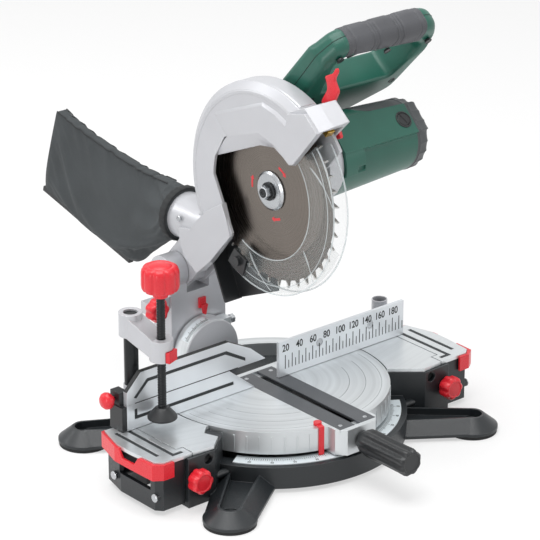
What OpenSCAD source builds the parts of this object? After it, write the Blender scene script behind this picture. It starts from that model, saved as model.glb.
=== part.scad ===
// Mitre saw with a tilting, chopping head, a turntable, two table extensions and a hold-down clamp.
// Millimetres. X is the operator's right, Y points to the back, Z is up.
// The origin is on the bench, in the middle of the four bench bolts. The head is drawn raised.

/* [Base] */
// Height of the table top above the bench
table_h = 62.5; // [56:0.5:75]
// Distance from the bolt centre back to the fence face and the mitre axis
mitre_y = 13; // [0:1:30]
// Bench bolt spacing, left to right
bolt_dx = 348; // [330:1:370]
// Bench bolt spacing, front to back
bolt_dy = 252; // [240:1:270]
// Radius of a bench bolt hole
bolt_r = 4.5; // [3:0.5:6]
// Outer radius of the base ring
ring_r = 150; // [146:1:156]
// Height of the top of the base ring
ring_top = 30; // [26:0.5:31]
// Radius of a foot
foot_r = 29; // [24:1:34]
// Thickness of a rubber foot
pad_t = 4; // [3:0.5:6]
// Thickness of a table plate
plate_t = 4; // [3:0.5:5]
// Depth of the front wall of the base in front of the fence
wing_front = 87; // [84:1:92]
// Outer edge of the fixed tables
wing_x = 187; // [184:1:189]

/* [Extensions] */
// Outer edge of a table extension
ext_x = 227; // [222:1:236]
// Radius of an extension rod
rod_r = 4.5; // [3:0.5:5.5]
// Length of an extension rod
rod_len = 150; // [120:1:155]
// Height of the extension rods
rod_z = 21; // [18:0.5:23]
// Radius of an extension knob
ext_knob_r = 13; // [10:0.5:15]

/* [Fences] */
// Height of the right fence above the table
fence_h = 42; // [35:1:50]
// Height of the fixed part of the left fence
low_fence_h = 29; // [24:1:34]
// Height of the sliding part of the left fence
high_fence_h = 34; // [28:1:38]
// Thickness of the left fences
fence_t = 6; // [5:0.5:6.5]
// Outer end of the fences
fence_x = 199; // [192:1:201]

/* [Clamp] */
// Place of the clamp post, left to right
post_x = 178; // [174:1:178]
// Place of the clamp post behind the fence face
post_y = 20; // [19:0.5:24]
// Radius of the clamp post
post_r = 7.8; // [6:0.2:8.5]
// Height of the clamp post above the table
post_h = 124; // [118:1:140]
// Reach of the clamp arm to the front
clamp_reach = 40; // [38:1:50]
// Radius of the clamp screw
screw_r = 4.7; // [4:0.1:6]
// Length of the clamp screw below the arm
screw_drop = 72; // [60:1:80]
// Radius of the clamp knob
clamp_knob_r = 20.5; // [18:0.5:25]

/* [Turntable] */
// Radius of the turntable disc
disc_r = 131; // [128:1:132]
// Depth of the turntable skirt
skirt_h = 26; // [22:0.5:28]
// Reach of the turntable arm in front of the fence face
arm_y = 149; // [144:1:160]
// Half width of the turntable arm
arm_w = 29; // [28:0.5:33]
// Half width of the kerf between the two insert plates
kerf_w = 4; // [3:0.5:6]
// Thickness of a kerf insert plate
insert_t = 3; // [2:0.5:4]
// Radius of the mitre lock grip
grip_r = 15.5; // [12:0.5:16.5]
// Length of the mitre lock grip
grip_len = 78; // [60:1:100]
// Radius of the bevel barrel
barrel_r = 38; // [34:0.5:38]

/* [Head] */
// Distance of the head pivot behind the fence face
pivot_y = 143; // [140:1:148]
// Height of the head pivot above the table
pivot_up = 93.5; // [92:0.5:100]
// Distance from the head pivot to the blade axis
head_reach = 195; // [190:1:200]
// Angle of the raised head above level
head_angle = 42.4; // [40:0.1:45]
// Radius of the head pivot pin
pin_r = 8; // [6:0.5:10]
// Radius of the saw blade
blade_r = 108; // [100:0.5:108]
// Thickness of the saw blade
blade_t = 2; // [1.4:0.1:2.6]
// Number of teeth on the blade
blade_teeth = 40; // [24:1:60]
// Radius of the arbor
arbor_r = 8; // [6:0.5:10]
// Gear module
gear_m = 2; // [1.8:0.1:2.1]
// Teeth on the drive gear
gear_teeth = 40; // [36:1:40]
// Teeth on the motor pinion
pinion_teeth = 10; // [10:1:12]
// Radius of the motor housing at its root
motor_r = 45; // [43:0.5:50]
// Where the motor housing ends
motor_x = 146; // [140:1:160]
// Lean of the handle loop from level
handle_lean = 50; // [45:1:55]
// Right end of the handle
handle_x = 182; // [172:1:190]
// Half thickness of the handle
handle_t = 18; // [16:0.5:20]
// Radius of the dust chute
chute_r = 27; // [22:0.5:29]
// Half thickness of the dust bag
bag_t = 22; // [15:1:30]

/* [Hidden] */
$fn = 96;

// Clearance between fixed neighbours, and radial clearance of a running fit
gap = 0.3;
run = 0.05;
cut = 1;

green = "#2f6259";
black = "#2b2f32";
silver = "#b9babc";
alu = "#c9cdd0";
red = "#dd3340";
steel = "#8f9194";
grey = "#66666a";

// Heights and places worked out from the sizes above
floor_z = pad_t;
wall_z = 1.2;
bed_t = 6;
inner_r = disc_r + 2.5;
skirt_z = table_h - skirt_h;
bed_z = table_h - plate_t;
deck_z = bed_z - gap;
spigot_r = 12;
spigot_top = table_h - 16;
hub_r = 22;
arbor_y = pivot_y - head_reach * cos(head_angle);
pivot_z = table_h + pivot_up;
arbor_z = pivot_z + head_reach * sin(head_angle);
gear_c = gear_m * (gear_teeth + pinion_teeth) / 2;
motor_angle = 130.6;
motor_y = arbor_y + gear_c * cos(motor_angle);
motor_z = arbor_z + gear_c * sin(motor_angle);
guard_in_r = blade_r + 9.5;
guard_out_r = guard_in_r + 5;
low_guard_r = blade_r + 6.5;
guard_x0 = -17;
guard_x1 = 14;
wall = 3.5;
boss_r = 21;
handle_y = arbor_y - 1.7;
handle_z = arbor_z + 108.3;
grip_v = 77;
front_y = -wing_front;
step_y = front_y + 21;
rod_ys = [-6, front_y + 11];
fence_z = table_h + 0.4;
seat_z = table_h - 0.2;
high_z = fence_z + low_fence_h + 0.4;
feet = [for (x = [-1, 1], y = [-1, 1]) [x * bolt_dx / 2, y * bolt_dy / 2]];

function pol(r, a) = [r * cos(a), r * sin(a)];
function arc(r, a0, a1, n) = [for (i = [0 : n]) pol(r, a0 + (a1 - a0) * i / n)];
function shift(pts, d) = [for (p = pts) p + d];
function flip(pts) = [for (p = pts) [-p[0], p[1]]];

// Put what is drawn from the fence face and the mitre axis into the part's frame
module placed() {
    translate([0, mitre_y, 0]) children();
}

// A flat outline given as (y, z), from x0 to x1
module yz(x0, x1) {
    translate([x0, 0, 0]) rotate([90, 0, 90]) linear_extrude(x1 - x0) children();
}

// A flat outline given as (x, z), from y0 to y1
module xz(y0, y1) {
    translate([0, y1, 0]) rotate([90, 0, 0]) linear_extrude(y1 - y0) children();
}

// A flat outline given as (x, y), from z0 to z1
module xy(z0, z1) {
    translate([0, 0, z0]) linear_extrude(z1 - z0) children();
}

module rod_x(x0, x1, y, z, r, $fn = $fn) {
    translate([x0, y, z]) rotate([0, 90, 0]) cylinder(r = r, h = x1 - x0);
}

module rod_y(x, y0, y1, z, r) {
    translate([x, y0, z]) rotate([-90, 0, 0]) cylinder(r = r, h = y1 - y0);
}

module rod_z(x, y, z0, z1, r) {
    translate([x, y, z0]) cylinder(r = r, h = z1 - z0);
}

module block(x0, x1, y0, y1, z0, z1) {
    translate([x0, y0, z0]) cube([x1 - x0, y1 - y0, z1 - z0]);
}

// A hand knob along +Z with round flutes in its rim
module lobed(r, h, n) {
    flute_r = 2.2 * r / n;
    difference() {
        cylinder(r = r, h = h);
        for (i = [0 : n - 1])
            rotate([0, 0, (i + 0.5) * 360 / n])
                translate([r + 0.45 * flute_r, 0, -cut]) cylinder(r = flute_r, h = h + 2 * cut);
    }
}

// Rotate about the blade axis: the angle counts from the back (+Y) up towards +Z
module about_arbor(a0, a1) {
    translate([0, arbor_y, arbor_z]) rotate([0, 90, 0]) rotate([0, 0, a0 + 90])
        rotate_extrude(angle = a1 - a0, $fn = 128) children();
}

module at_arbor() {
    translate([0, arbor_y, arbor_z]) children();
}

module at_pivot() {
    translate([0, pivot_y, pivot_z]) children();
}

// The handle loop: X along the grip, Y to the front and up, Z out of the front face
module at_handle() {
    translate([0, handle_y, handle_z]) rotate([180 - handle_lean, 0, 0]) children();
}

module both() {
    children();
    mirror([1, 0, 0]) children();
}

// Base

wing_pts = [[90, -50], [119, -60], [151, front_y], [wing_x, front_y], [wing_x, 40], [165, 48], [90, 48]];
back_hollow = [[inner_r + 6, 10], [wing_x - 5, 10], [wing_x - 5, 37], [163, 43], [inner_r + 6, 43]];
wing_hollow = [[139, -56], [154, front_y + 6], [wing_x - 5, front_y + 6], [wing_x - 5, 5], [139, 5]];

// One leg along +X from the ring to a foot at the origin: sloped outside, with a trough that narrows to the bolt
module leg(reach) {
    leg_h = 16.5;
    edge_h = 3.5;
    rim_r = 13.5;
    trough_r = 10.5;
    splay = 3.5;
    side_w = foot_r - 1.2;
    difference() {
        union() {
            for (a = [-splay, splay])
                rotate([0, 0, a]) yz(-reach, 0)
                    polygon([[-side_w, 0.3], [side_w, 0.3], [side_w, edge_h], [rim_r - 1, leg_h],
                        [1 - rim_r, leg_h], [-side_w, edge_h]]);
            rotate([0, 0, 90]) rotate_extrude() polygon([[0, 0], [foot_r, 0], [foot_r, edge_h - 0.4],
                [rim_r, leg_h - 0.4], [0, leg_h - 0.4]]);
        }
        xy(8, leg_h + 1) polygon([[0, -trough_r], [0, trough_r], [-reach - cut, trough_r + 5],
            [-reach - cut, -trough_r - 5]]);
        translate([0, 0, 6.5]) cylinder(r = trough_r + 0.3, h = leg_h);
        translate([0, 0, -cut]) cylinder(r = bolt_r, h = leg_h);
    }
}

module legs() {
    for (f = feet) {
        d = f - [0, mitre_y];
        translate([f[0], f[1] - mitre_y, floor_z]) rotate([0, 0, atan2(d[1], d[0])])
            leg(norm(d) - ring_r + 8);
    }
}

module base_casting() {
    color(black) placed() difference() {
        union() {
            difference() {
                union() {
                    rod_z(0, 0, floor_z + 1, ring_top, ring_r);
                    both() xy(wall_z, deck_z) polygon(wing_pts);
                }
                rod_z(0, 0, floor_z + 1 + bed_t, table_h, inner_r);
                both() xy(wall_z - cut, deck_z - bed_t) polygon(wing_hollow);
                both() xy(wall_z - cut, deck_z - bed_t) polygon(back_hollow);
                both() block(wing_x - 8, wing_x + cut, rod_ys[1] + 9, rod_ys[0] - 9, wall_z - cut, rod_z + 9);
            }
            legs();
            rod_z(0, 0, floor_z + 1, skirt_z - 2, hub_r);
            rod_z(0, 0, floor_z + 1, spigot_top, spigot_r);
        }
        for (y = rod_ys)
            both() rod_x(60, wing_x + cut, y, rod_z, rod_r + run);
        both() rod_y(ext_knob_x, front_y - cut, front_y + 8, knob_z, knob_stem_r + run);
        both() rod_y(160, front_y - cut, front_y + 8, table_h - 12, 6);
        for (f = feet)
            rod_z(f[0], f[1] - mitre_y, -cut, floor_z + 6, bolt_r);
    }
}

module rubber_feet() {
    color("#1d1f20") for (f = feet)
        translate([f[0], f[1], 0]) difference() {
            cylinder(r = foot_r - 0.8, h = pad_t);
            translate([0, 0, -cut]) cylinder(r = bolt_r, h = pad_t + 2 * cut);
        }
}

table_pts = [[100, -50], [120, -59], [151, front_y + 2], [wing_x - 9, front_y + 4], [wing_x - 9, step_y],
    [wing_x, step_y], [wing_x, 40], [165, 48], [100, 48]];

module table_plate() {
    difference() {
        xy(bed_z, table_h) polygon(table_pts);
        rod_z(0, 0, bed_z - cut, table_h + cut, disc_r + 1.5);
        block(0, wing_x + cut, -0.5, 50, seat_z, table_h + cut);
    }
}

module left_table() {
    color(alu) placed() difference() {
        mirror([1, 0, 0]) table_plate();
        xy(bed_z - cut, table_h + cut)
            polygon([[-disc_r + 2.5, -44], [-disc_r - 9, -55], [-disc_r - 2, -73], [-disc_r + 13, -64], [-disc_r + 21, -44]]);
    }
}

module right_table() {
    color(alu) placed() table_plate();
}

module mitre_scale() {
    scale_t = 1.2;
    color("#dfe8ec") placed() translate([0, 0, ring_top]) rotate([0, 0, 213])
        rotate_extrude(angle = 114, $fn = 128)
            polygon([[inner_r - 7, 0], [inner_r + 10, 0], [inner_r + 10, scale_t], [inner_r - 7, scale_t]]);
}

// Extensions

knob_stem_r = 4;
knob_z = 35;
ext_knob_x = 180;
ext_back = 18;

ext_pts = [[wing_x - 7.8, front_y + 4], [ext_x - 10, front_y + 4], [ext_x - 3, front_y + 10],
    [ext_x, front_y + 48], [ext_x, front_y + 70], [ext_x - 10, ext_back], [wing_x + 1.2, ext_back],
    [wing_x + 1.2, step_y - 1.2], [wing_x - 7.8, step_y - 1.2]];

module extension_plate() {
    slot_w = 5;
    slot_d = 2.5;
    difference() {
        xy(bed_z, table_h) polygon(ext_pts);
        block(wing_x + 8, wing_x + 8 + slot_w, front_y + 10, 12, table_h - slot_d, table_h + cut);
        block(wing_x - 2, wing_x + 9, front_y + 10, front_y + 10 + slot_w, table_h - slot_d, table_h + cut);
        block(wing_x + 22, wing_x + 22 + slot_w, front_y + 20, 6, table_h - slot_d, table_h + cut);
    }
}

// Open frame under the plate, with the carrying gap in its end wall, and its two rods
module extension_frame() {
    frame_z = 6;
    end_wall = 5;
    end_x = ext_x - 4;
    difference() {
        xy(frame_z, deck_z) polygon([[wing_x + 1.2, front_y + 5], [end_x - 6, front_y + 5],
            [end_x, front_y + 12], [end_x, front_y + 70], [end_x - 8, ext_back - 3], [wing_x + 1.2, ext_back - 3]]);
        xy(frame_z - cut, deck_z + cut) polygon([[wing_x, front_y + 9], [end_x - end_wall - 5, front_y + 9],
            [end_x - end_wall, front_y + 13], [end_x - end_wall, front_y + 69],
            [end_x - end_wall - 7, ext_back - 8], [wing_x, ext_back - 8]]);
        block(end_x - 12, end_x + cut, rod_ys[1] + 8, rod_ys[0] - 8, rod_z + 6, rod_z + 26);
        for (y = rod_ys)
            rod_x(end_x - 20, end_x + cut, y, rod_z, rod_r);
    }
    for (y = rod_ys)
        rod_x(end_x - rod_len, end_x + 0.5, y, rod_z, rod_r);
}

module extension_grip() {
    lip = 3;
    low_z = table_h - 19;
    top_z = table_h - 1.5;
    difference() {
        xy(low_z, top_z) polygon([[ext_x - 22, front_y + 4 - lip], [ext_x - 8, front_y + 4 - lip],
            [ext_x + 2, front_y + 8], [ext_x + lip, front_y + 47], [ext_x + lip, front_y + 71],
            [ext_x - 8, ext_back + lip], [ext_x - 14, ext_back + lip]]);
        xy(low_z - cut, top_z + cut) polygon([[ext_x - 30, front_y + 4 - gap], [ext_x - 9.7, front_y + 4 - gap],
            [ext_x - 2.7, front_y + 9.8], [ext_x + gap, front_y + 48], [ext_x + gap, front_y + 70],
            [ext_x - 9.7, ext_back + gap], [ext_x - 30, ext_back + gap]]);
        translate([ext_x - 15, 0, 0]) yz(0, 30)
            polygon([[-56, top_z + cut], [-49, low_z + 8], [-29, low_z + 8], [-22, top_z + cut]]);
    }
}

module left_extension_plate() {
    color(alu) placed() mirror([1, 0, 0]) extension_plate();
}

module left_extension_frame() {
    color(black) placed() mirror([1, 0, 0]) extension_frame();
}

module left_extension_grip() {
    color(red) placed() mirror([1, 0, 0]) extension_grip();
}

module right_extension_plate() {
    color(alu) placed() extension_plate();
}

module right_extension_frame() {
    color(black) placed() extension_frame();
}

module right_extension_grip() {
    color(red) placed() extension_grip();
}

// Lobed knob on the front wall, with its stem in the wall
module extension_knob(x) {
    knob_len = 16;
    placed() {
        translate([x, front_y - 1, knob_z]) rotate([90, 0, 0]) lobed(ext_knob_r, knob_len, 6);
        rod_y(x, front_y - 2, front_y + 6, knob_z, knob_stem_r);
    }
}

module left_extension_knob() {
    color(red) extension_knob(-ext_knob_x);
}

module right_extension_knob() {
    color(red) extension_knob(ext_knob_x);
}

// Fences

fence_screw_xs = [70, 146];
plate_fence_t = 4;
screw_sink = 2;
fence_tip = 10.8;

module right_fence() {
    color(alu) placed() difference() {
        union() {
            block(fence_tip, fence_x - 2, 0, plate_fence_t, fence_z, fence_z + fence_h);
            block(40, 165, plate_fence_t, 16, fence_z, fence_z + 7);
        }
        for (x = fence_screw_xs) {
            rod_y(x, -cut, plate_fence_t + cut, fence_z + 26, 2.5);
            rod_y(x, -cut, screw_sink, fence_z + 26, 4.8);
        }
    }
}

module fence_screws() {
    color(steel) placed() for (x = fence_screw_xs) {
        rod_y(x, 0.2, screw_sink, fence_z + 26, 4.5);
        rod_y(x, screw_sink - 0.5, plate_fence_t + 8, fence_z + 26, 2.4);
    }
}

module lower_left_fence() {
    slot_d = 2;
    color(alu) placed() difference() {
        union() {
            xz(0, fence_t) polygon([[-fence_x - 1, fence_z], [-24, fence_z], [-60, fence_z + low_fence_h],
                [-fence_x - 1, fence_z + low_fence_h]]);
            block(-165, -70, fence_t, 15, fence_z, fence_z + 7);
        }
        xz(-cut, slot_d) polygon([[-190, fence_z + 11], [-54, fence_z + 11], [-54, fence_z + 15],
            [-186, fence_z + 15], [-186, fence_z + 23], [-190, fence_z + 23]]);
    }
}

module upper_left_fence() {
    slot_d = 2;
    top = high_z + high_fence_h;
    color(alu) placed() difference() {
        xz(0, fence_t) polygon([[-fence_x - 1, high_z], [-fence_x - 1, top - 19], [-181, top], [-61, top],
            [-30, top - 16], [-9, high_z + 0.5], [-9, high_z]]);
        xz(-cut, slot_d) polygon([[-191, top - 27], [-173, top - 9.5], [-64, top - 9.5], [-37, top - 25],
            [-37, top - 29], [-65, top - 13.5], [-171, top - 13.5], [-187, top - 29]]);
    }
}

guide_x = fence_x + 1.3;
guide_t = 6;

module fence_guide() {
    color(black) placed() difference() {
        union() {
            block(-guide_x - guide_t, -guide_x, 0.4, 22, fence_z, fence_z + low_fence_h - 1);
            block(-guide_x - guide_t + 1, -guide_x + 6, fence_t + 0.5, 22, fence_z, high_z + 14);
        }
        rod_x(-guide_x - guide_t - cut, -guide_x + 7, guide_knob_y, guide_knob_z, 3 + run);
    }
}

guide_knob_y = 16;
guide_knob_z = high_z + 5;

module fence_knob() {
    color(red) placed() {
        translate([-guide_x - guide_t - 1, guide_knob_y, guide_knob_z]) rotate([0, -90, 0])
            cylinder(r = 8.5, h = 12);
        rod_x(-guide_x - guide_t - 2, -guide_x + 2, guide_knob_y, guide_knob_z, 3);
    }
}

// Hold-down clamp

socket_top = table_h + 43;
arm_z = table_h + 86;
arm_h = 20;
arm_drop = 18;
screw_x = -post_x + 9.5;
screw_y = post_y - clamp_reach;
arm_len = norm([screw_x + post_x, clamp_reach]);
arm_turn = atan2(-clamp_reach, screw_x + post_x);
knob_h = 37;
knob_z0 = arm_z + arm_h + 48;
release_turn = 20;

module clamp_sockets() {
    color(steel) placed() for (x = [-post_x, post_x])
        difference() {
            rod_z(x, post_y, seat_z, socket_top, post_r + 1.2);
            rod_z(x, post_y, seat_z - cut, socket_top + cut, post_r + run);
        }
}

module clamp_post() {
    color(black) placed() rod_z(-post_x, post_y, table_h + 0.5, table_h + post_h, post_r);
}

module clamp_arm() {
    boss = post_r + 5;
    color(silver) placed() difference() {
        union() {
            rod_z(-post_x, post_y, arm_z + arm_drop - 4, arm_z + arm_drop + arm_h + 2, boss);
            rod_z(screw_x, screw_y, arm_z - 4, arm_z + arm_h, boss);
            translate([-post_x, post_y, 0]) rotate([0, 0, arm_turn]) xz(-boss + 1.2, boss - 1.2)
                polygon([[0, arm_z + arm_drop - 3], [arm_len, arm_z - 3], [arm_len, arm_z + arm_h - 1.5],
                    [0, arm_z + arm_drop + arm_h + 1]]);
        }
        rod_z(-post_x, post_y, arm_z, arm_z + arm_drop + arm_h + 3, post_r);
        rod_z(screw_x, screw_y, arm_z - 5, arm_z + arm_drop + arm_h, screw_r + 0.3);
        translate([screw_x, screw_y, 0]) rotate([0, 0, release_turn])
            block(-8, 8, -boss - cut, -8, arm_z - 5, arm_z + 9);
    }
}

// Quick-release button that lets the screw slide
module clamp_release() {
    color(red) placed() translate([screw_x, screw_y, 0]) rotate([0, 0, release_turn])
        block(-7.6, 7.6, -post_r - 7, -9.8, arm_z - 3.5, arm_z + 8.5);
}

module clamp_pad() {
    pad_z = arm_z - screw_drop;
    color(black) placed() difference() {
        union() {
            rod_z(screw_x, screw_y, pad_z, pad_z + 4, 16);
            translate([screw_x, screw_y, pad_z + 4]) cylinder(r1 = 14, r2 = 8, h = 9);
        }
        rod_z(screw_x, screw_y, pad_z + 5, pad_z + 14, screw_r + run);
    }
}

module clamp_screw() {
    color(black) placed() rod_z(screw_x, screw_y, arm_z - screw_drop + 5.2, knob_z0 + 10, screw_r);
}

module clamp_knob() {
    color(red) placed() difference() {
        union() {
            translate([screw_x, screw_y, knob_z0 + 6]) lobed(clamp_knob_r, knob_h - 6, 8);
            rod_z(screw_x, screw_y, knob_z0, knob_z0 + 7, 10);
        }
        rod_z(screw_x, screw_y, knob_z0 - cut, knob_z0 + 10.2, screw_r);
    }
}

// Turntable

barrel_y0 = 104;
pocket_y = 36;
pocket_r = disc_r - 16;
back_drop = 5.5;
barrel_y1 = 124;
tilt_pin_r = 10;
slot_w = 11;
recess_w = arm_w - 3.5;
recess_y0 = -arm_y + 6;
recess_y1 = 30;
arm_low = ring_top + 3;
bolt_x = barrel_r - 5;
bolt_up = 25.5;
handle_z0 = 47;
lock_r = 4;

arm_pts = [[-arm_w, -40], [-arm_w, -arm_y + 10], [-arm_w + 9, -arm_y], [arm_w - 9, -arm_y],
    [arm_w, -arm_y + 10], [arm_w, -40]];
arm_hollow = [[-arm_w + 4, -40], [-arm_w + 4, -arm_y + 12], [-arm_w + 11, -arm_y + 6],
    [arm_w - 11, -arm_y + 6], [arm_w - 4, -arm_y + 12], [arm_w - 4, -40]];

module turntable() {
    color(alu) placed() difference() {
        union() {
            difference() {
                union() {
                    rod_z(0, 0, skirt_z, table_h, disc_r);
                    xy(arm_low, table_h) polygon(arm_pts);
                }
                rod_z(0, 0, skirt_z - cut, table_h - bed_t, disc_r - 5.5);
                block(-disc_r, disc_r, barrel_y1, disc_r + cut, skirt_z - cut, table_h + cut);
                xy(arm_low - cut, table_h - bed_t) polygon(arm_hollow);
                block(-disc_r - cut, disc_r + cut, pocket_y, disc_r + cut, skirt_z - cut, table_h + cut);
            }
            intersection() {
                difference() {
                    rod_z(0, 0, skirt_z, table_h - back_drop, disc_r);
                    rod_z(0, 0, skirt_z + 5, table_h, pocket_r);
                }
                block(-disc_r, disc_r, pocket_y - 2, barrel_y1, skirt_z, table_h);
            }
            intersection() {
                rod_z(0, 0, skirt_z, table_h, disc_r);
                block(-disc_r, disc_r, pocket_y - 5, pocket_y, skirt_z, table_h);
            }
            rod_z(0, 0, skirt_z - 1.7, table_h - cut, hub_r);
            intersection() {
                rod_y(0, barrel_y0, barrel_y1, table_h, barrel_r);
                block(-barrel_r, barrel_r, barrel_y0, barrel_y1, skirt_z, table_h + barrel_r);
            }
            block(barrel_r - 17, bolt_x, barrel_y0 + 6, barrel_y1 - 0.5, table_h + bolt_up - 7, table_h + bolt_up + 6);
            block(-8, 8, -arm_y, -arm_y + 10, handle_z0 - 9, handle_z0 + 9);
        }
        block(-recess_w, recess_w, recess_y0, recess_y1, table_h - insert_t, table_h + cut);
        block(-slot_w, slot_w, recess_y0 + 12, 20, -cut, table_h + cut);
        rod_z(0, 0, -cut, table_h - 7, spigot_r + run);
        rod_y(0, barrel_y0 - cut, barrel_y1 + cut, table_h, tilt_pin_r + run);
        rod_y(0, -arm_y - cut, -arm_y + 20, handle_z0, lock_r + run);
    }
}

module kerf_inserts() {
    color("#85888c") placed() for (s = [-1, 1])
        difference() {
            block(min(s * kerf_w, s * (recess_w - gap)), max(s * kerf_w, s * (recess_w - gap)),
                recess_y0 + gap, recess_y1 - gap, table_h - insert_t, table_h);
            for (y = insert_ys)
                rod_z(s * insert_screw_x, y, table_h - insert_t - cut, table_h + cut, 2.6);
        }
}

insert_screw_x = recess_w - 8;
insert_ys = [recess_y0 + 9, 22];

module insert_screws() {
    color(steel) placed() for (s = [-1, 1], y = insert_ys)
        rod_z(s * insert_screw_x, y, table_h - insert_t, table_h, 2.4);
}

pointer_a = 253.5;

module mitre_pointer() {
    color(red) placed() rotate([0, 0, pointer_a]) {
        block(disc_r + 0.2, disc_r + 1.9, -3, 3, ring_top + 1.6, table_h + 2);
        block(disc_r - 10, disc_r + 1.9, -3, 3, table_h + gap, table_h + 2);
        rod_z(disc_r - 9, 0, table_h + gap, table_h + 3.5, 4.5);
    }
}

// Twist grip that locks the mitre angle, with its rod in the turntable arm
module mitre_handle() {
    color(black) placed() {
        translate([0, -arm_y - 1, handle_z0]) rotate([90, 0, 0]) lobed(grip_r, grip_len, 8);
        rod_y(0, -arm_y - 2, -arm_y + 18, handle_z0, lock_r);
    }
}

module bevel_bolts() {
    color(steel) placed() {
        rod_x(bolt_x, bolt_x + 10, barrel_y0 + 13, table_h + bolt_up, 3);
        translate([bolt_x + 3, barrel_y0 + 13, table_h + bolt_up]) rotate([0, 90, 0]) cylinder(r = 5.8, h = 5, $fn = 6);
    }
}

// Tilting column

column_y0 = barrel_y1 + 2;
column_y1 = pivot_y + 15;
column_x0 = -40;
column_x1 = 38;
column_top = pivot_z - 24;
ear_r = 20.5;
ear_in0 = guard_x0 - 0.6;
ear_in1 = guard_x1 + 0.6;
bevel_knob_x = -66;
bevel_knob_z = table_h + 64;

module ear(x0, x1) {
    rod_x(x0, x1, pivot_y, pivot_z, ear_r);
    block(x0, x1, column_y0, column_y1, column_top - cut, pivot_z - 4);
}

module tilt_arm() {
    color(silver) placed() difference() {
        union() {
            rod_y(0, barrel_y1 + 0.3, column_y1, table_h, 29);
            block(column_x0, column_x1, column_y0, column_y1, table_h, column_top);
            ear(column_x0, ear_in0);
            ear(ear_in1, column_x1);
            block(bevel_knob_x - 6, column_x0 + cut, column_y0 + 2, column_y0 + 14,
                bevel_knob_z - 8, bevel_knob_z + 6);
            rod_y(0, barrel_y0 + 4, column_y0, table_h, tilt_pin_r);
        }
        rod_x(column_x0 - cut, column_x1 + cut, pivot_y, pivot_z, pin_r);
        rod_x(column_x0 - cut, column_x0 + 12, pivot_y, pivot_z, 14);
        rod_y(bevel_knob_x, column_y0, column_y0 + 15, bevel_knob_z, 4 + run);
        block(-24, 24, column_y0 + 8, column_y1 + cut, table_h + 34, column_top - 10);
    }
}

module head_pivot_pin() {
    color(steel) placed() rod_x(column_x0 + 6, column_x1 - 2, pivot_y, pivot_z, pin_r);
}

module bevel_pointer() {
    color(red) placed() {
        block(-1.5, 7.5, column_y0 - 3, column_y0, table_h + barrel_r + 9, table_h + barrel_r + 21);
        xz(column_y0 - 8, column_y0 - 3) polygon([[-0.5, table_h + barrel_r + 14], [6.5, table_h + barrel_r + 14],
            [3.8, table_h + barrel_r + 2], [2.2, table_h + barrel_r + 2]]);
    }
}

module bevel_knob() {
    color(red) placed() {
        translate([bevel_knob_x, column_y0 + 1.5, bevel_knob_z]) rotate([90, 0, 0]) lobed(14, 16, 7);
        rod_y(bevel_knob_x, column_y0, column_y0 + 14, bevel_knob_z, 4);
    }
}

// Head: guard. Outlines are (y, z) from the blade axis, in the raised pose

pivot_off = [pivot_y - arbor_y, pivot_z - arbor_z];
arm_dir = atan2(pivot_off[1], pivot_off[0]);
window_r = blade_r - 29;
lobe_r = 22;
nose_x1 = 20.5;
nose_r = guard_out_r + 15.5;
nose_pts = [pol(guard_in_r - 7, 112), pol(nose_r + 6.5, 124), pol(nose_r + 6.5, 135), pol(window_r - 12, 136),
    pol(window_r - 16, 110)];
window_pts = concat(arc(window_r, arm_dir - 10, 16, 12),
    [pol(window_r - 2, 39), pol(window_r - 10, 84), pol(window_r - 15, 109), pol(window_r - 11, 133),
    pol(3 * blade_r, 132), pol(3 * blade_r, 220), pol(3 * blade_r, 270), pol(3 * blade_r, arm_dir - 10)]);
link_pts = [pol(window_r - 2, arm_dir - 9), pivot_off + pol(lobe_r, arm_dir - 90),
    pivot_off + pol(lobe_r, arm_dir + 90), pol(blade_r + 3, -26), pol(blade_r, 0), pol(window_r, 0)];

module left_plate(r) {
    difference() {
        circle(r = r);
        polygon(window_pts);
    }
    polygon(link_pts);
    translate(pivot_off) circle(r = lobe_r);
}

module right_plate() {
    intersection() {
        circle(r = guard_in_r + cut);
        polygon(concat([pol(3 * blade_r, -44)], arc(3 * blade_r, -30, 136, 6), [[-20, -20]]));
    }
    circle(r = 40);
    polygon(link_pts);
    translate(pivot_off) circle(r = lobe_r);
}

nose_in_r = nose_r - 6.5;

// The roof of the nose, a prism along the rim: it climbs from the left edge to a crease and on to the right edge
module nose_roof() {
    rotate([129.5, 0, 0]) translate([0, 0, -60]) linear_extrude(height = 120)
        polygon([[guard_x0 - 3, 0], [guard_x0 - 3, nose_r - 4.3], [guard_x0 + 1, nose_r - 3.5], [0, nose_r + 0.6],
            [nose_x1 - 1.5, nose_r + 4.4], [nose_x1 + 3, nose_r + 1.6], [nose_x1 + 3, 0]]);
}

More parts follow.
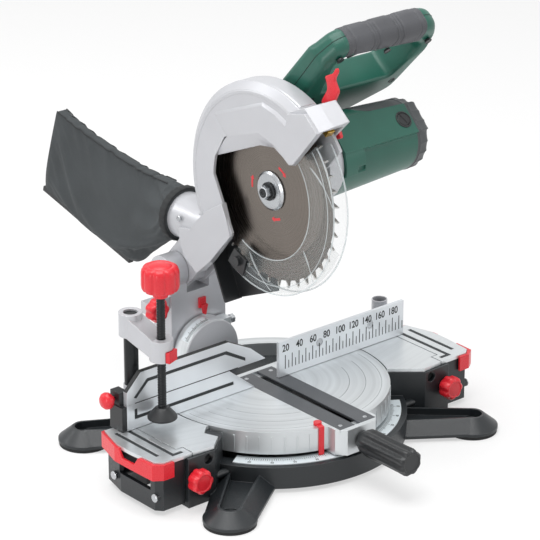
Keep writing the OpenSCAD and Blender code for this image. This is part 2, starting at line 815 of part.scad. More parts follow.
module upper_guard() {
    edge = 4.5;
    step = 0.3;
    color(silver) placed() difference() {
        union() {
            at_arbor() yz(guard_x0, guard_x0 + wall) left_plate(guard_out_r - 10);
            at_arbor() yz(guard_x1 - wall, guard_x1) right_plate();
            about_arbor(-30, 126) polygon([[guard_in_r, guard_x1 - step], [guard_out_r, guard_x1 - step],
                [guard_out_r, guard_x0 + edge + 2], [guard_out_r - 8, guard_x0 + step],
                [guard_out_r - 14, guard_x0 + step], [guard_out_r - 14, guard_x0 + wall - step],
                [guard_in_r - 1, guard_x0 + wall - step], [guard_in_r, guard_x0 + wall + 1]]);
            difference() {
                at_arbor() intersection() {
                    yz(guard_x0 + 2 * step, nose_x1) polygon(nose_pts);
                    nose_roof();
                }
                at_arbor() yz(guard_x0 + wall + step, nose_x1 - wall) polygon([pol(window_r - 30, 95),
                    pol(guard_in_r, 106), pol(nose_in_r, 123.5), pol(nose_in_r, 133),
                    pol(nose_in_r + 11, 140), pol(window_r - 30, 150)]);
            }
            rod_x(guard_x0 + step, guard_x1 - step, pivot_y, pivot_z, 19);
            at_arbor() rod_x(4.8, guard_x1 - step, 0, 0, boss_r);
            at_arbor() rod_x(nose_x1 - cut, lever_x1, lever_hub[0], lever_hub[1], lever_pin_r);
        }
        rod_x(guard_x1, nose_x1 + cut, motor_y, motor_z, motor_r + gap);
        rod_x(guard_x0 - cut, guard_x1 + cut, pivot_y, pivot_z, pin_r + run);
        at_arbor() rod_x(4, guard_x1 + cut, 0, 0, arbor_r + run);
    }
}

// The dust chute leaves the back of the guard
chute_a = -37;
chute_len = 62;

module at_chute() {
    at_arbor() translate([-1, (guard_in_r + 2) * cos(chute_a), (guard_in_r + 2) * sin(chute_a)])
        rotate([-90, 0, 0]) children();
}

module dust_chute() {
    color(silver) placed() difference() {
        at_chute() cylinder(r = chute_r, h = chute_len);
        at_chute() translate([0, 0, -cut]) cylinder(r = chute_r - 2.5, h = chute_len + 2 * cut);
        at_arbor() rod_x(-60, 60, 0, 0, guard_out_r + gap);
        at_arbor() yz(guard_x0 - gap, guard_x0 + wall + gap) polygon(link_pts);
        at_arbor() yz(guard_x1 - wall - gap, guard_x1 + gap) polygon(link_pts);
    }
}

// Dust bag: a round neck on the chute, flattened to a thin far end. Places are (y, z) from the blade axis
bag_neck = 7;
bag_y0 = (guard_in_r + 2) * cos(chute_a) + chute_len - bag_neck;
bag_far_top = [bag_y0 + 247, -14];
bag_far_low = [bag_y0 + 274, -110.5];
bag_low = [bag_y0 + 107, -145.5];
bag_round = 5;

module bag_edge(at, half) {
    translate([0, at[0], at[1]]) rod_x(-half, half, 0, 0, bag_round, $fn = 20);
}

module dust_bag() {
    color("#4b5152") placed() difference() {
        union() {
            at_chute() translate([0, 0, chute_len - bag_neck]) cylinder(r = chute_r + 3, h = bag_neck + 4);
            hull() {
                at_chute() translate([0, 0, chute_len]) cylinder(r = chute_r + 3, h = 4, $fn = 32);
                at_arbor() bag_edge(bag_far_top, bag_t * 0.5);
                at_arbor() bag_edge(bag_far_low, bag_t * 0.5);
                at_arbor() bag_edge(bag_low, bag_t * 0.7);
                at_arbor() bag_edge((bag_far_top + bag_low) / 2, bag_t);
            }
        }
        at_chute() translate([0, 0, -cut]) cylinder(r = chute_r + gap, h = chute_len + gap + cut);
    }
}

// Black bar that closes the lower edge of the bag
module bag_slider() {
    along = bag_far_low - bag_low;
    slider_t = 7;
    color(black) placed() at_arbor() translate([0, bag_low[0], bag_low[1]])
        rotate([atan2(along[1], along[0]), 0, 0])
            block(-6, 6, -4, norm(along) + 4, -bag_round - gap - slider_t, -bag_round - gap);
}

// Black shield behind the blade: a flat side on the right and a wall across the back
module chip_deflector() {
    side_x0 = 8.2;
    side_x1 = guard_x1 - wall - gap;
    top = pol(guard_in_r + 15, arm_dir - 4);
    low = pol(guard_in_r + 45, -66);
    color(black) placed() at_arbor() {
        yz(guard_x0 + wall + gap, side_x1) polygon([top, low, low - [2.5, 0], top - [2.5, 0]]);
        yz(side_x0, side_x1) polygon([top, low, pol(guard_in_r + 2, -90), pol(guard_in_r - 20, -92),
            pol(guard_in_r - 22, -47)]);
    }
}

// Head: drive

case_x0 = guard_x1 + gap;
case_x1 = 34;
shaft_r = 6;

module gear(teeth, h) {
    root = gear_m * (teeth / 2 - 1.1);
    tip = gear_m * (teeth / 2 + 0.6);
    pitch = gear_m * teeth / 2;
    half = 0.22 * 360 / teeth;
    linear_extrude(h) {
        circle(r = root);
        for (i = [0 : teeth - 1])
            rotate([0, 0, i * 360 / teeth])
                polygon([pol(root - 1, -half * 1.3), pol(pitch, -half * 0.95), pol(tip, -half * 0.55),
                    pol(tip, half * 0.55), pol(pitch, half * 0.95), pol(root - 1, half * 1.3)]);
    }
}

module gear_case() {
    cavity = gear_m * (gear_teeth / 2 + 0.6) + 1;
    case_wall = 5;
    at_motor = pol(gear_c, motor_angle);
    color(silver) placed() at_arbor() difference() {
        yz(case_x0, case_x1) {
            circle(r = cavity + case_wall);
            translate(at_motor) circle(r = motor_r);
        }
        yz(case_x0 - cut, case_x1 - 4) {
            circle(r = cavity);
            translate(at_motor) circle(r = gear_m * (pinion_teeth / 2 + 0.6) + 1);
        }
        rod_x(case_x1 - 6, case_x1 + cut, 0, 0, arbor_r + run);
        rod_x(case_x1 - 6, case_x1 + cut, at_motor[0], at_motor[1], shaft_r + run);
    }
}

end_r = motor_r - 6;
shell_t = 3;

module at_motor_axis(x) {
    translate([x, motor_y, motor_z]) rotate([0, 90, 0]) children();
}

module motor_housing() {
    x0 = case_x1 + gap;
    color(green) placed() difference() {
        at_motor_axis(x0) cylinder(r1 = motor_r, r2 = end_r, h = motor_x - x0);
        at_motor_axis(x0 - cut) cylinder(r = end_r - shell_t, h = motor_x - x0 + 2 * cut);
        for (s = [0, 180])
            at_brush(s) cylinder(r = brush_r, h = 30);
    }
}

brush_r = 8.6;
brush_x = 134;

module at_brush(s) {
    at_motor_axis(brush_x) rotate([0, 0, motor_angle + 90 + s]) translate([end_r - 4, 0, 0]) rotate([0, 90, 0])
        children();
}

module brush_caps() {
    color("#151617") placed() for (s = [0, 180])
        at_brush(s) translate([0, 0, 0]) cylinder(r = brush_r - gap, h = 5.5);
}

module motor_end_cap() {
    cap_len = 18;
    color(grey) placed() difference() {
        at_motor_axis(motor_x + gap) union() {
            cylinder(r = end_r, h = cap_len - 6);
            translate([0, 0, cap_len - 6]) cylinder(r1 = end_r, r2 = end_r - 6, h = 6);
        }
        at_motor_axis(motor_x) cylinder(r = end_r - shell_t, h = cap_len - 4);
        for (i = [0 : 17])
            at_motor_axis(motor_x + 6) rotate([0, 0, i * 20]) translate([end_r - 8, -1.5, 0]) cube([10, 3, cap_len]);
    }
    color(grey) placed() at_motor_axis(motor_x + 8) difference() {
        cylinder(r = shaft_r + 5, h = cap_len - 9);
        translate([0, 0, -cut]) cylinder(r = shaft_r + run, h = 8);
    }
}

stator_x0 = 66;
stator_x1 = 116;

module motor_stator() {
    color(steel) placed() difference() {
        at_motor_axis(stator_x0) cylinder(r = end_r - shell_t - 0.2, h = stator_x1 - stator_x0);
        at_motor_axis(stator_x0 - cut) cylinder(r = 27, h = stator_x1 - stator_x0 + 2 * cut);
    }
}

module armature() {
    color(steel) placed() {
        at_motor_axis(case_x0 + 2) rotate([0, 0, motor_angle + 90 + 180 / pinion_teeth]) gear(pinion_teeth, 13);
        at_motor_axis(case_x0 + 1) cylinder(r = shaft_r, h = motor_x + 12.7 - case_x0);
        at_motor_axis(stator_x0 + 1) cylinder(r = 26, h = stator_x1 - stator_x0 - 2);
        at_motor_axis(stator_x1 + 5) cylinder(r = 14, h = 16);
        at_motor_axis(case_x1 + 6) {
            translate([0, 0, -0.5]) cylinder(r = 16, h = 13);
            cylinder(r = end_r - shell_t - 3, h = 2);
            for (i = [0 : 11])
                rotate([0, 0, i * 30 + 10]) translate([12, -0.8, 1]) cube([end_r - shell_t - 17, 1.6, 10]);
        }
    }
}

module arbor_shaft() {
    color(steel) placed() at_arbor() {
        rod_x(-1, case_x1 - 0.5, 0, 0, arbor_r);
        translate([case_x0 + 2, 0, 0]) rotate([0, 90, 0]) rotate([0, 0, motor_angle + 90]) gear(gear_teeth, 12);
    }
}

// Blade with slanted teeth, and its clamping set

module saw_blade() {
    step = 360 / blade_teeth;
    root = blade_r - 8;
    color("#9a948e") placed() at_arbor() difference() {
        yz(-blade_t / 2, blade_t / 2) polygon([for (i = [0 : blade_teeth - 1], k = [0 : 2])
            pol(k == 1 ? blade_r : root, i * step + step * [0.05, 0.3, 0.42][k])]);
        rod_x(-blade_t, blade_t, 0, 0, arbor_r);
    }
}

module blade_flanges() {
    flange_r = 22;
    color("#a9a59d") placed() at_arbor() difference() {
        union() {
            rod_x(-blade_t / 2 - 4, -blade_t / 2, 0, 0, flange_r);
            rod_x(blade_t / 2, blade_t / 2 + 3.4, 0, 0, flange_r - 2);
        }
        rod_x(-10, 10, 0, 0, arbor_r);
    }
}

module arbor_bolt() {
    x0 = -blade_t / 2 - 4;
    color(steel) placed() at_arbor() {
        rod_x(x0 - 3, x0, 0, 0, 10);
        translate([x0 - 9, 0, 0]) rotate([0, 90, 0]) cylinder(r = 7.2, h = 6.5, $fn = 6);
        rod_x(x0 - 15, -1.2, 0, 0, 4);
    }
}

// Clear lower guard: a rim, a left cheek, and a spoke on the right to its hub

low_a0 = 138;
low_a1 = 300;
cheek_x = -12;
cheek_t = 2.5;
rim_x1 = 7.6;

module lower_guard() {
    cheek_r = blade_r - 34;
    color([0.85, 0.9, 0.92, 0.5]) placed() {
        about_arbor(low_a0, low_a1) polygon([[cheek_r, cheek_x], [low_guard_r, cheek_x], [low_guard_r, rim_x1],
            [low_guard_r - cheek_t, rim_x1], [low_guard_r - cheek_t, cheek_x + cheek_t], [cheek_r, cheek_x + cheek_t]]);
        at_arbor() difference() {
            union() {
                yz(rim_x1 - cheek_t - 0.3, rim_x1 - 0.3) intersection() {
                    circle(r = low_guard_r - 1);
                    polygon([[0, 0], pol(2 * blade_r, 204), pol(2 * blade_r, 232), pol(2 * blade_r, 260)]);
                }
                rod_x(rim_x1 - cheek_t, rim_x1 + 2, 0, 0, boss_r + 6);
            }
            rod_x(0, 20, 0, 0, boss_r + run);
        }
    }
}

// Black end piece on the cheek, with its pin
module guard_knuckle() {
    knuckle_r = blade_r - 9;
    color(black) placed() {
        about_arbor(287, 301) polygon([[knuckle_r - 9, cheek_x - 3], [knuckle_r + 12, cheek_x - 3],
            [knuckle_r + 12, cheek_x], [knuckle_r - 9, cheek_x]]);
        at_arbor() translate([0, knuckle_r * cos(294), knuckle_r * sin(294)]) rod_x(cheek_x - 7, cheek_x - 1, 0, 0, 5.5);
    }
}

// Handle. Outlines are (x, v), with v to the front along the loop

loop_x0 = 24;
open_x0 = 48;
open_x1 = handle_x - 22;
core_r = 15;
sleeve_r = 18.5;
sleeve_x0 = 52;
sleeve_x1 = handle_x - 24;

module loop_outline() {
    difference() {
        polygon([[loop_x0, -20], [loop_x0, 68], [loop_x0 + 10, 88], [loop_x0 + 18, grip_v + handle_t],
            [handle_x - 10, grip_v + handle_t], [handle_x, grip_v - 2], [handle_x - 10, -4], [handle_x - 15, -22],
            [120, -47], [70, -72], [loop_x0, -72]]);
        polygon([[open_x0, 7], [open_x0, grip_v - handle_t], [open_x1 + 8, grip_v - handle_t], [open_x1 - 8, 7]]);
    }
}

// One half of the handle shell, from the parting plane at z = 0 to the face at z = t
module handle_half(t) {
    placed() difference() {
        at_handle() difference() {
            union() {
                xy(min(0, t), max(0, t)) difference() {
                    loop_outline();
                    translate([sleeve_x0, grip_v - handle_t - cut])
                        square([sleeve_x1 - sleeve_x0, 2 * handle_t + 2 * cut]);
                }
                if (t > 0)
                    block(loop_x0 + 4, 78, -60, -10, 0, t + 16);
                intersection() {
                    rod_x(sleeve_x0 - cut, sleeve_x1 + cut, grip_v, 0, core_r);
                    block(0, handle_x, 0, 2 * grip_v, min(0, t), max(0, t));
                }
            }
            block(trigger_x0 - gap, trigger_x1 + gap, 0, grip_v - 3, -trigger_w - gap, trigger_w + gap);
            at_gland(-48 + gap) cylinder(r = gland_r + 0.1, h = 40);
        }
        at_motor_axis(0) cylinder(r = motor_r + gap, h = 200);
        rod_x(0, case_x1 + 1, arbor_y, arbor_z, gear_m * gear_teeth / 2 + 10);
    }
}

trigger_x0 = 70;
trigger_x1 = 112;
trigger_w = 7;

module handle_front() {
    color(green) handle_half(handle_t);
}

module handle_rear() {
    color(green) handle_half(-handle_t);
}

// Soft sleeve round the grip, open for the trigger
module handle_grip() {
    color(grey) placed() at_handle() difference() {
        rod_x(sleeve_x0 + gap, sleeve_x1 - gap, grip_v, 0, sleeve_r);
        rod_x(sleeve_x0 - cut, sleeve_x1 + cut, grip_v, 0, core_r + 0.1);
        block(trigger_x0 - gap, trigger_x1 + gap, 0, grip_v - 3, -trigger_w - gap, trigger_w + gap);
    }
}

module trigger() {
    color("#1b1c1d") placed() at_handle() difference() {
        block(trigger_x0, trigger_x1, grip_v - 25, grip_v - 9.5, -trigger_w, trigger_w);
        translate([(trigger_x0 + trigger_x1) / 2, grip_v - 60, -20]) cylinder(r = 40, h = 40);
    }
}

lever_x0 = nose_x1 + gap;
lever_x1 = lever_x0 + 7.5;
lever_hub = [-66, 100];
lever_pin_r = 3;

// Red lever that frees the lower guard, on a pin in the side of the nose
module lock_lever() {
    color(red) placed() at_arbor() difference() {
        union() {
            yz(lever_x0, lever_x1)
                polygon([[-76.6, 153], [-72, 145.5], [-61, 139.5], [-63, 133], [-64, 125.5], [-58, 111],
                    [-60, 99], [-77, 73], [-87, 77], [-74, 103], [-75, 116.5], [-80.3, 127],
                    [-73.2, 138.7], [-78.8, 148.5]]);
            rod_x(lever_x0, lever_x1, lever_hub[0], lever_hub[1], 8);
        }
        rod_x(lever_x0 - cut, lever_x1 + cut, lever_hub[0], lever_hub[1], lever_pin_r + run);
    }
}

module laser_module() {
    laser_at = pol(nose_in_r - 4, 131);
    color("#c9a14a") placed() at_arbor() rod_x(1, 10, laser_at[0], laser_at[1], 3.5);
}

gland_x = 96;
gland_r = 7;

// Cable gland, with no cable in it
module at_gland(v) {
    translate([gland_x, v, 0]) rotate([90, 0, 0]) children();
}

module cable_inlet() {
    color("#1b1c1d") placed() at_handle() difference() {
        at_gland(-48) cylinder(r = gland_r, h = 26);
        at_gland(-49) cylinder(r = 4, h = 26);
    }
}

base_casting();
rubber_feet();
left_table();
right_table();
mitre_scale();
lower_left_fence();
right_fence();
fence_screws();
fence_guide();
clamp_sockets();
left_extension_plate();
left_extension_frame();
left_extension_grip();
right_extension_plate();
right_extension_frame();
right_extension_grip();
left_extension_knob();
right_extension_knob();
upper_left_fence();
fence_knob();
clamp_post();
clamp_arm();
clamp_release();
clamp_pad();
clamp_screw();
clamp_knob();
turntable();
kerf_inserts();
insert_screws();
mitre_pointer();
mitre_handle();
bevel_bolts();
tilt_arm();
head_pivot_pin();
bevel_pointer();
bevel_knob();
upper_guard();
gear_case();
motor_housing();
motor_end_cap();
motor_stator();
brush_caps();
handle_front();
handle_rear();
handle_grip();
trigger();
lock_lever();
laser_module();
dust_chute();
dust_bag();
bag_slider();
chip_deflector();
cable_inlet();
saw_blade();
blade_flanges();
arbor_bolt();
arbor_shaft();
armature();
lower_guard();
guard_knuckle();
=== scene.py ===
"""Looks of a compound mitre saw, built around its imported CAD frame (metres, +Z up, +X the operator's right)."""
import math

import bmesh
import bpy
import numpy as np
from mathutils import Matrix, Vector


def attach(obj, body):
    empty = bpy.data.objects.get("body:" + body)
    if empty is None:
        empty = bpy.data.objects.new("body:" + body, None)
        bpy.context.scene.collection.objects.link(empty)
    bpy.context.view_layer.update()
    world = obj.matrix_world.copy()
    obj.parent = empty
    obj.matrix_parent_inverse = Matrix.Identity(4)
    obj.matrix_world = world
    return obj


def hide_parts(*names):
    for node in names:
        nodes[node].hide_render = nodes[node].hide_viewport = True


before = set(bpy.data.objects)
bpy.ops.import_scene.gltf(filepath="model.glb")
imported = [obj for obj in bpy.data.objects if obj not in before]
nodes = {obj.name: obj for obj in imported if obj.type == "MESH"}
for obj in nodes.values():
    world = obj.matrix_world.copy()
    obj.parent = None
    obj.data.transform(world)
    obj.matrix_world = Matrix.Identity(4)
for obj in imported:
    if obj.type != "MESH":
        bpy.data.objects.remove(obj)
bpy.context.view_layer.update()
scene = bpy.context.scene
MM = 0.001

# Places taken from the part's source, in millimetres
MITRE_Y = 13.0
FENCE_Y = 13.0
TABLE_H = 62.5
ARBOR = np.array([0.0, 12.0, 287.5])
MOTOR = np.array([0.0, -20.5, 325.5])
CLAMP_X, CLAMP_Y = -168.5, -7.0
SIDES = ((-1, "left_extension"), (1, "right_extension"))


# Colours and shader nodes

def ink(code):
    """sRGB hex to linear RGBA."""
    c = np.array([int(code[i:i + 2], 16) for i in (1, 3, 5)]) / 255.0
    c = np.where(c <= 0.04045, c / 12.92, ((c + 0.055) / 1.055) ** 2.4)
    return (*c.tolist(), 1.0)


def add(tree, kind, settings=None, sockets=None):
    """Adds one node: settings are its properties, sockets its inputs, linked where the value is an output."""
    n = tree.nodes.new(kind)
    for key, value in (settings or {}).items():
        setattr(n, key, value)
    for key, value in (sockets or {}).items():
        if isinstance(value, bpy.types.NodeSocket):
            tree.links.new(value, n.inputs[key])
        else:
            n.inputs[key].default_value = value
    return n


def begin(name, **constants):
    """A material with its Principled shader; constants are set on the shader's own sockets."""
    m = bpy.data.materials.new(name)
    m.use_nodes = True
    tree = m.node_tree
    shader = tree.nodes["Principled BSDF"]
    for key, value in constants.items():
        shader.inputs[key.replace("_", " ")].default_value = value
    return m, tree, shader


# Where noise leaves its low end and reaches its high one
RAMP = (0.3, 0.7)


def dress(t, s, code, spread, tone, sheen, rough, wear=None, bump=None):
    """Wires one look: tone moves the colour between code less and plus its spread, sheen moves the roughness between
    its two ends. Wear (colour, radius, amount) tints edges, where a rounded normal departs from the flat one. Bump
    (height, strength, depth, edge radius, samples) is laid over rounded edges."""
    base = np.array(ink(code)[:3])
    ramp = add(t, "ShaderNodeValToRGB", None, {"Fac": tone})
    for stop, place, share in zip(ramp.color_ramp.elements, RAMP, (1 - spread, 1 + spread)):
        stop.position, stop.color = place, (*np.clip(base * share, 0, 1), 1.0)
    colour = ramp.outputs["Color"]
    if wear:
        worn, radius, amount = wear
        soft = add(t, "ShaderNodeBevel", {"samples": 4}, {"Radius": radius * MM})
        flat = add(t, "ShaderNodeNewGeometry")
        dot = add(t, "ShaderNodeVectorMath", {"operation": "DOT_PRODUCT"},
                  {0: soft.outputs["Normal"], 1: flat.outputs["Normal"]})
        edge = add(t, "ShaderNodeMapRange", None, {"Value": dot.outputs["Value"], "From Min": 0.99,
                                                   "From Max": 0.8, "To Min": 0.0, "To Max": amount})
        mix = add(t, "ShaderNodeMix", {"data_type": "RGBA"}, {0: edge.outputs["Result"], 6: colour, 7: worn})
        colour = mix.outputs[2]
    t.links.new(colour, s.inputs["Base Color"])
    band = add(t, "ShaderNodeMapRange", None, {"Value": sheen, "From Min": RAMP[0], "From Max": RAMP[1],
                                               "To Min": rough[0], "To Max": rough[1]})
    t.links.new(band.outputs["Result"], s.inputs["Roughness"])
    if bump:
        height, strength, depth, radius, samples = bump
        soft = add(t, "ShaderNodeBevel", {"samples": samples}, {"Radius": radius * MM})
        b = add(t, "ShaderNodeBump", None, {"Height": height, "Strength": strength, "Distance": depth * MM,
                                            "Normal": soft.outputs["Normal"]})
        t.links.new(b.outputs["Normal"], s.inputs["Normal"])


def moulded(name, code, rough=0.42, grain_mm=0.7, bump=0.10, spread=0.10, **constants):
    """Injection-moulded plastic: spark-eroded mould grain, faint flow mottling and soft, slightly paler edges."""
    m, t, s = begin(name, IOR=1.5, **constants)
    at = add(t, "ShaderNodeTexCoord").outputs["Object"]
    flow, grain = (add(t, "ShaderNodeTexNoise", None, {"Vector": at, "Scale": 1 / (size * MM), "Detail": detail})
                   .outputs["Fac"] for size, detail in ((45, 3.0), (grain_mm, 2.0)))
    pale = (*np.clip(np.array(ink(code)[:3]) * 1.35 + 0.02, 0, 1), 1.0)
    dress(t, s, code, spread, flow, grain, (rough - 0.05, rough + 0.07), (pale, 0.7, 0.6), (grain, bump, 0.4, 0.8, 6))
    return m


def cast_coat(name, code, rough=0.5, grain_mm=1.6, bump=0.25, spread=0.12, edge_code="#7d8286", **constants):
    """Painted die casting: orange-peel coat over rounded foundry edges that wear to a paler tone."""
    m, t, s = begin(name, **constants)
    at = add(t, "ShaderNodeTexCoord").outputs["Object"]
    stain, peel = (add(t, "ShaderNodeTexNoise", None, {"Vector": at, "Scale": 1 / (size * MM), "Detail": detail})
                   .outputs["Fac"] for size, detail in ((60, 4.0), (grain_mm, 1.0)))
    dress(t, s, code, spread, stain, peel, (rough - 0.06, rough + 0.08), (ink(edge_code), 0.8, 0.55),
          (peel, bump, 0.25, 1.0, 6))
    return m


def rings(t, centre_mm, keep, pitch_mm, detail):
    """Fine rings about a centre: noise along the distance from it, in the plane of the axes that keep leaves."""
    at = add(t, "ShaderNodeTexCoord").outputs["Object"]
    put = add(t, "ShaderNodeMapping", {"vector_type": "POINT"},
              {"Vector": at, "Location": [-c * MM for c in centre_mm]})
    flat = add(t, "ShaderNodeVectorMath", {"operation": "MULTIPLY"}, {0: put.outputs["Vector"], 1: keep})
    radius = add(t, "ShaderNodeVectorMath", {"operation": "LENGTH"}, {0: flat.outputs["Vector"]})
    line = add(t, "ShaderNodeTexNoise", {"noise_dimensions": "1D"},
               {"W": radius.outputs["Value"], "Scale": 1 / (pitch_mm * MM), "Detail": detail})
    return at, flat.outputs["Vector"], line.outputs["Fac"]


def milled(name, code, pitch_mm, centre_mm, metal=0.75, depth=0.04):
    """Face-milled aluminium: faint arcs of the cutter about a far centre, with slow clouds that move the sheen."""
    m, t, s = begin(name, Metallic=metal)
    at, _, line = rings(t, centre_mm, (1.0, 1.0, 0.0), pitch_mm, 2.0)
    cloud = add(t, "ShaderNodeTexNoise", None, {"Vector": at, "Scale": 1 / (55 * MM), "Detail": 3.0})
    dress(t, s, code, depth, line, cloud.outputs["Fac"], (0.28, 0.42), None, (line, 0.03, 0.05, 0.5, 4))
    return m


def ground(name, code):
    """Ground blade steel: fine rings about the arbor that draw the light out into bright fans from the centre."""
    m, t, s = begin(name, Metallic=1.0, Anisotropic=0.85)
    _, flat, line = rings(t, ARBOR, (0.0, 1.0, 1.0), 0.9, 3.0)
    along = add(t, "ShaderNodeVectorMath", {"operation": "CROSS_PRODUCT"}, {0: (1.0, 0.0, 0.0), 1: flat})
    turn = add(t, "ShaderNodeVectorTransform", {"vector_type": "VECTOR", "convert_from": "OBJECT",
                                                "convert_to": "WORLD"}, {"Vector": along.outputs["Vector"]})
    t.links.new(turn.outputs["Vector"], s.inputs["Tangent"])
    dress(t, s, code, 0.1, line, line, (0.19, 0.32))
    return m


def polished(name, code, alpha, rough):
    """Clear polycarbonate: a thin see-through skin whose smooth face keeps sharp highlights."""
    m, _, s = begin(name, Alpha=alpha, Roughness=rough, IOR=1.58)
    s.inputs["Base Color"].default_value = ink(code)
    return m


# Glass-filled nylon of the shells: deep green with an even half gloss
green = moulded("green_nylon", "#1f5a4c", rough=0.36)
# The shadowed groove where two green shells meet
seam_dark = moulded("parting_groove", "#16302a", rough=0.6, bump=0.0)
# Black nylon of grips, pads and small fittings: dark with soft highlights
black = moulded("black_nylon", "#1d1f21", rough=0.38)
# Red nylon of everything the hand turns or presses: bright, a little glossy
red = moulded("red_nylon", "#d9222f", rough=0.3, spread=0.05)
# Grey moulded nylon of the motor's vented cap: mid grey, duller than the shells
cap_grey = moulded("grey_nylon", "#45484a", rough=0.46)
# Overmoulded elastomer of the grip: grey, grained and nearly matt
grip_rubber = moulded("grey_grip_rubber", "#4f5054", rough=0.62, grain_mm=1.2, bump=0.3)
# Rubber of the feet: black and matt, with hardly a highlight
foot_rubber = moulded("black_rubber", "#161718", rough=0.75, grain_mm=1.0, bump=0.3)
# Powder coat on the base casting: near black with pale rubbed edges
base_coat = cast_coat("dark_powder_coat", "#1f2326", rough=0.38, bump=0.15, edge_code="#5d6367")
# Silver paint on the head's castings: light grey, with a faint metal flake
silver = cast_coat("silver_paint", "#bfc0c4", rough=0.36, grain_mm=1.1, bump=0.1, spread=0.03, edge_code="#eceded",
                   Metallic=0.3)
# Milled aluminium of the side tables: bright, with wide faint cutter arcs
table_alu = milled("milled_table", "#d5d9db", 6.0, (0, 600, 0))
# Faced aluminium of the turntable: the same metal with rings about its own centre
disc_alu = milled("milled_disc", "#d5d9db", 9.0, (0, MITRE_Y, 0), depth=0.08)
# Extruded aluminium of the fences: paler, with a fine straight grain
fence_alu = milled("milled_fence", "#dde1e5", 1.2, (0, -4000, 0), metal=0.55, depth=0.03)
# Grey of the cutter's deeper marks on the turntable
mark_grey = moulded("cutter_mark_grey", "#aeb2b5", rough=0.35, bump=0.0, spread=0.02, Metallic=0.7)
# Kerf insert: dark grey filled plastic with a dull shine
insert_grey = moulded("grey_insert", "#53565a", rough=0.34, Metallic=0.4)
# Zinc-plated steel of screws, pins and flanges: bright and cool
steel = cast_coat("zinc_steel", "#b6b9bc", rough=0.26, grain_mm=0.8, bump=0.05, edge_code="#e6e7e8", Metallic=1.0)
# Blackened steel of the clamp's rods and the bolt's washer: dark with a metal gleam
black_steel = cast_coat("black_oxide_steel", "#232527", rough=0.32, grain_mm=0.8, bump=0.05, Metallic=0.6)
# Ground steel of the blade: warm grey with bright fans
blade_steel = ground("ground_steel", "#746d67")
# Carbide of the tooth tips: pale and hard beside the plate
carbide = cast_coat("carbide", "#c9c8c4", rough=0.35, grain_mm=0.4, bump=0.05, edge_code="#f0efec", Metallic=0.9)
# Brass of the laser's body: a warm spot in the nose
brass = cast_coat("brass", "#c9a14a", rough=0.25, grain_mm=0.5, bump=0.05, edge_code="#ecd08a", Metallic=1.0)
# Printed scale plate: white with a cold tint
scale_white = moulded("scale_print", "#dfe8ec", rough=0.4, bump=0.03, spread=0.02)
# Black ink of ticks and figures: flat and matt
print_black = moulded("black_print", "#17191a", rough=0.6, bump=0.0, spread=0.02)
# Floor of the milled slots, black for its paint and as painted shade of the slots' depth: a little lighter than the
# ink
slot_black_and_shade = moulded("black_slot_and_shade", "#2c3032", rough=0.6, bump=0.1)
# Woven polyester of the bag: dark grey and matt, with a fine grain for its weave
bag_cloth = moulded("bag_cloth", "#3a3e40", rough=0.8, grain_mm=0.9, bump=0.3)
# Tape sewn round the bag's edges: blacker and coarser than the cloth
bag_tape = moulded("black_tape", "#232526", rough=0.8, grain_mm=0.9, bump=0.4)
# Polycarbonate of the lower guard: nearly invisible but for its shine
clear = polished("clear_polycarbonate", "#b4bdbf", 0.09, 0.05)
# The same sheet seen through its edge, drawn whiter and less clear as a painted highlight of the light that runs
# along it
clear_edge_highlight = polished("painted_edge_highlight", "#dfe6e8", 0.42, 0.08)

FINISH = (
    (base_coat, "base_casting left_extension_frame right_extension_frame"), (foot_rubber, "rubber_feet"),
    (table_alu, "left_table right_table left_extension_plate right_extension_plate"), (disc_alu, "turntable"),
    (fence_alu, "lower_left_fence right_fence upper_left_fence"), (scale_white, "mitre_scale"),
    (steel, "fence_screws insert_screws bevel_bolts head_pivot_pin motor_stator blade_flanges arbor_bolt"
            " arbor_shaft armature"),
    (black_steel, "clamp_post clamp_screw"), (blade_steel, "saw_blade"), (brass, "laser_module"),
    (silver, "clamp_sockets clamp_arm tilt_arm upper_guard gear_case dust_chute"),
    (black, "fence_guide clamp_pad mitre_handle brush_caps trigger bag_slider chip_deflector cable_inlet"
            " guard_knuckle"),
    (red, "left_extension_grip right_extension_grip left_extension_knob right_extension_knob fence_knob"
          " clamp_release clamp_knob mitre_pointer bevel_pointer bevel_knob lock_lever"),
    (insert_grey, "kerf_inserts"), (green, "motor_housing handle_front handle_rear"), (cap_grey, "motor_end_cap"),
    (grip_rubber, "handle_grip"), (bag_cloth, "dust_bag"), (clear, "lower_guard"),
)
for finish, names in FINISH:
    for name in names.split():
        nodes[name].data.materials.clear()
        nodes[name].data.materials.append(finish)


# Shape tools: every new piece is a grid of two parameters or an outline carried along levels, in millimetres

# Degrees over which an edge is sharp, and the radius of a profile's point on its axis
CREASE = 32
EPS = 0.01


def settle(name, me, finish, body):
    """Gives a mesh its finish and rides it on a body."""
    me.materials.append(finish)
    o = bpy.data.objects.new(name, me)
    scene.collection.objects.link(o)
    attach(o, body)
    return o


def piece(name, verts, faces, finish, body, crease=CREASE):
    """A mesh at the origin from vertices and faces, with edges over crease degrees marked as sharp, on a body."""
    me = bpy.data.meshes.new(name)
    me.from_pydata((np.asarray(verts, float) * MM).tolist(), [], [list(map(int, f)) for f in faces])
    bm = bmesh.new()
    bm.from_mesh(me)
    bmesh.ops.remove_doubles(bm, verts=bm.verts, dist=1e-6)
    bmesh.ops.dissolve_degenerate(bm, edges=bm.edges, dist=1e-7)
    bmesh.ops.recalc_face_normals(bm, faces=bm.faces)
    for e in bm.edges:
        e.smooth = e.calc_face_angle(0.0) < math.radians(crease)
    for f in bm.faces:
        f.smooth = True
    bm.to_mesh(me)
    bm.free()
    return settle(name, me, finish, body)


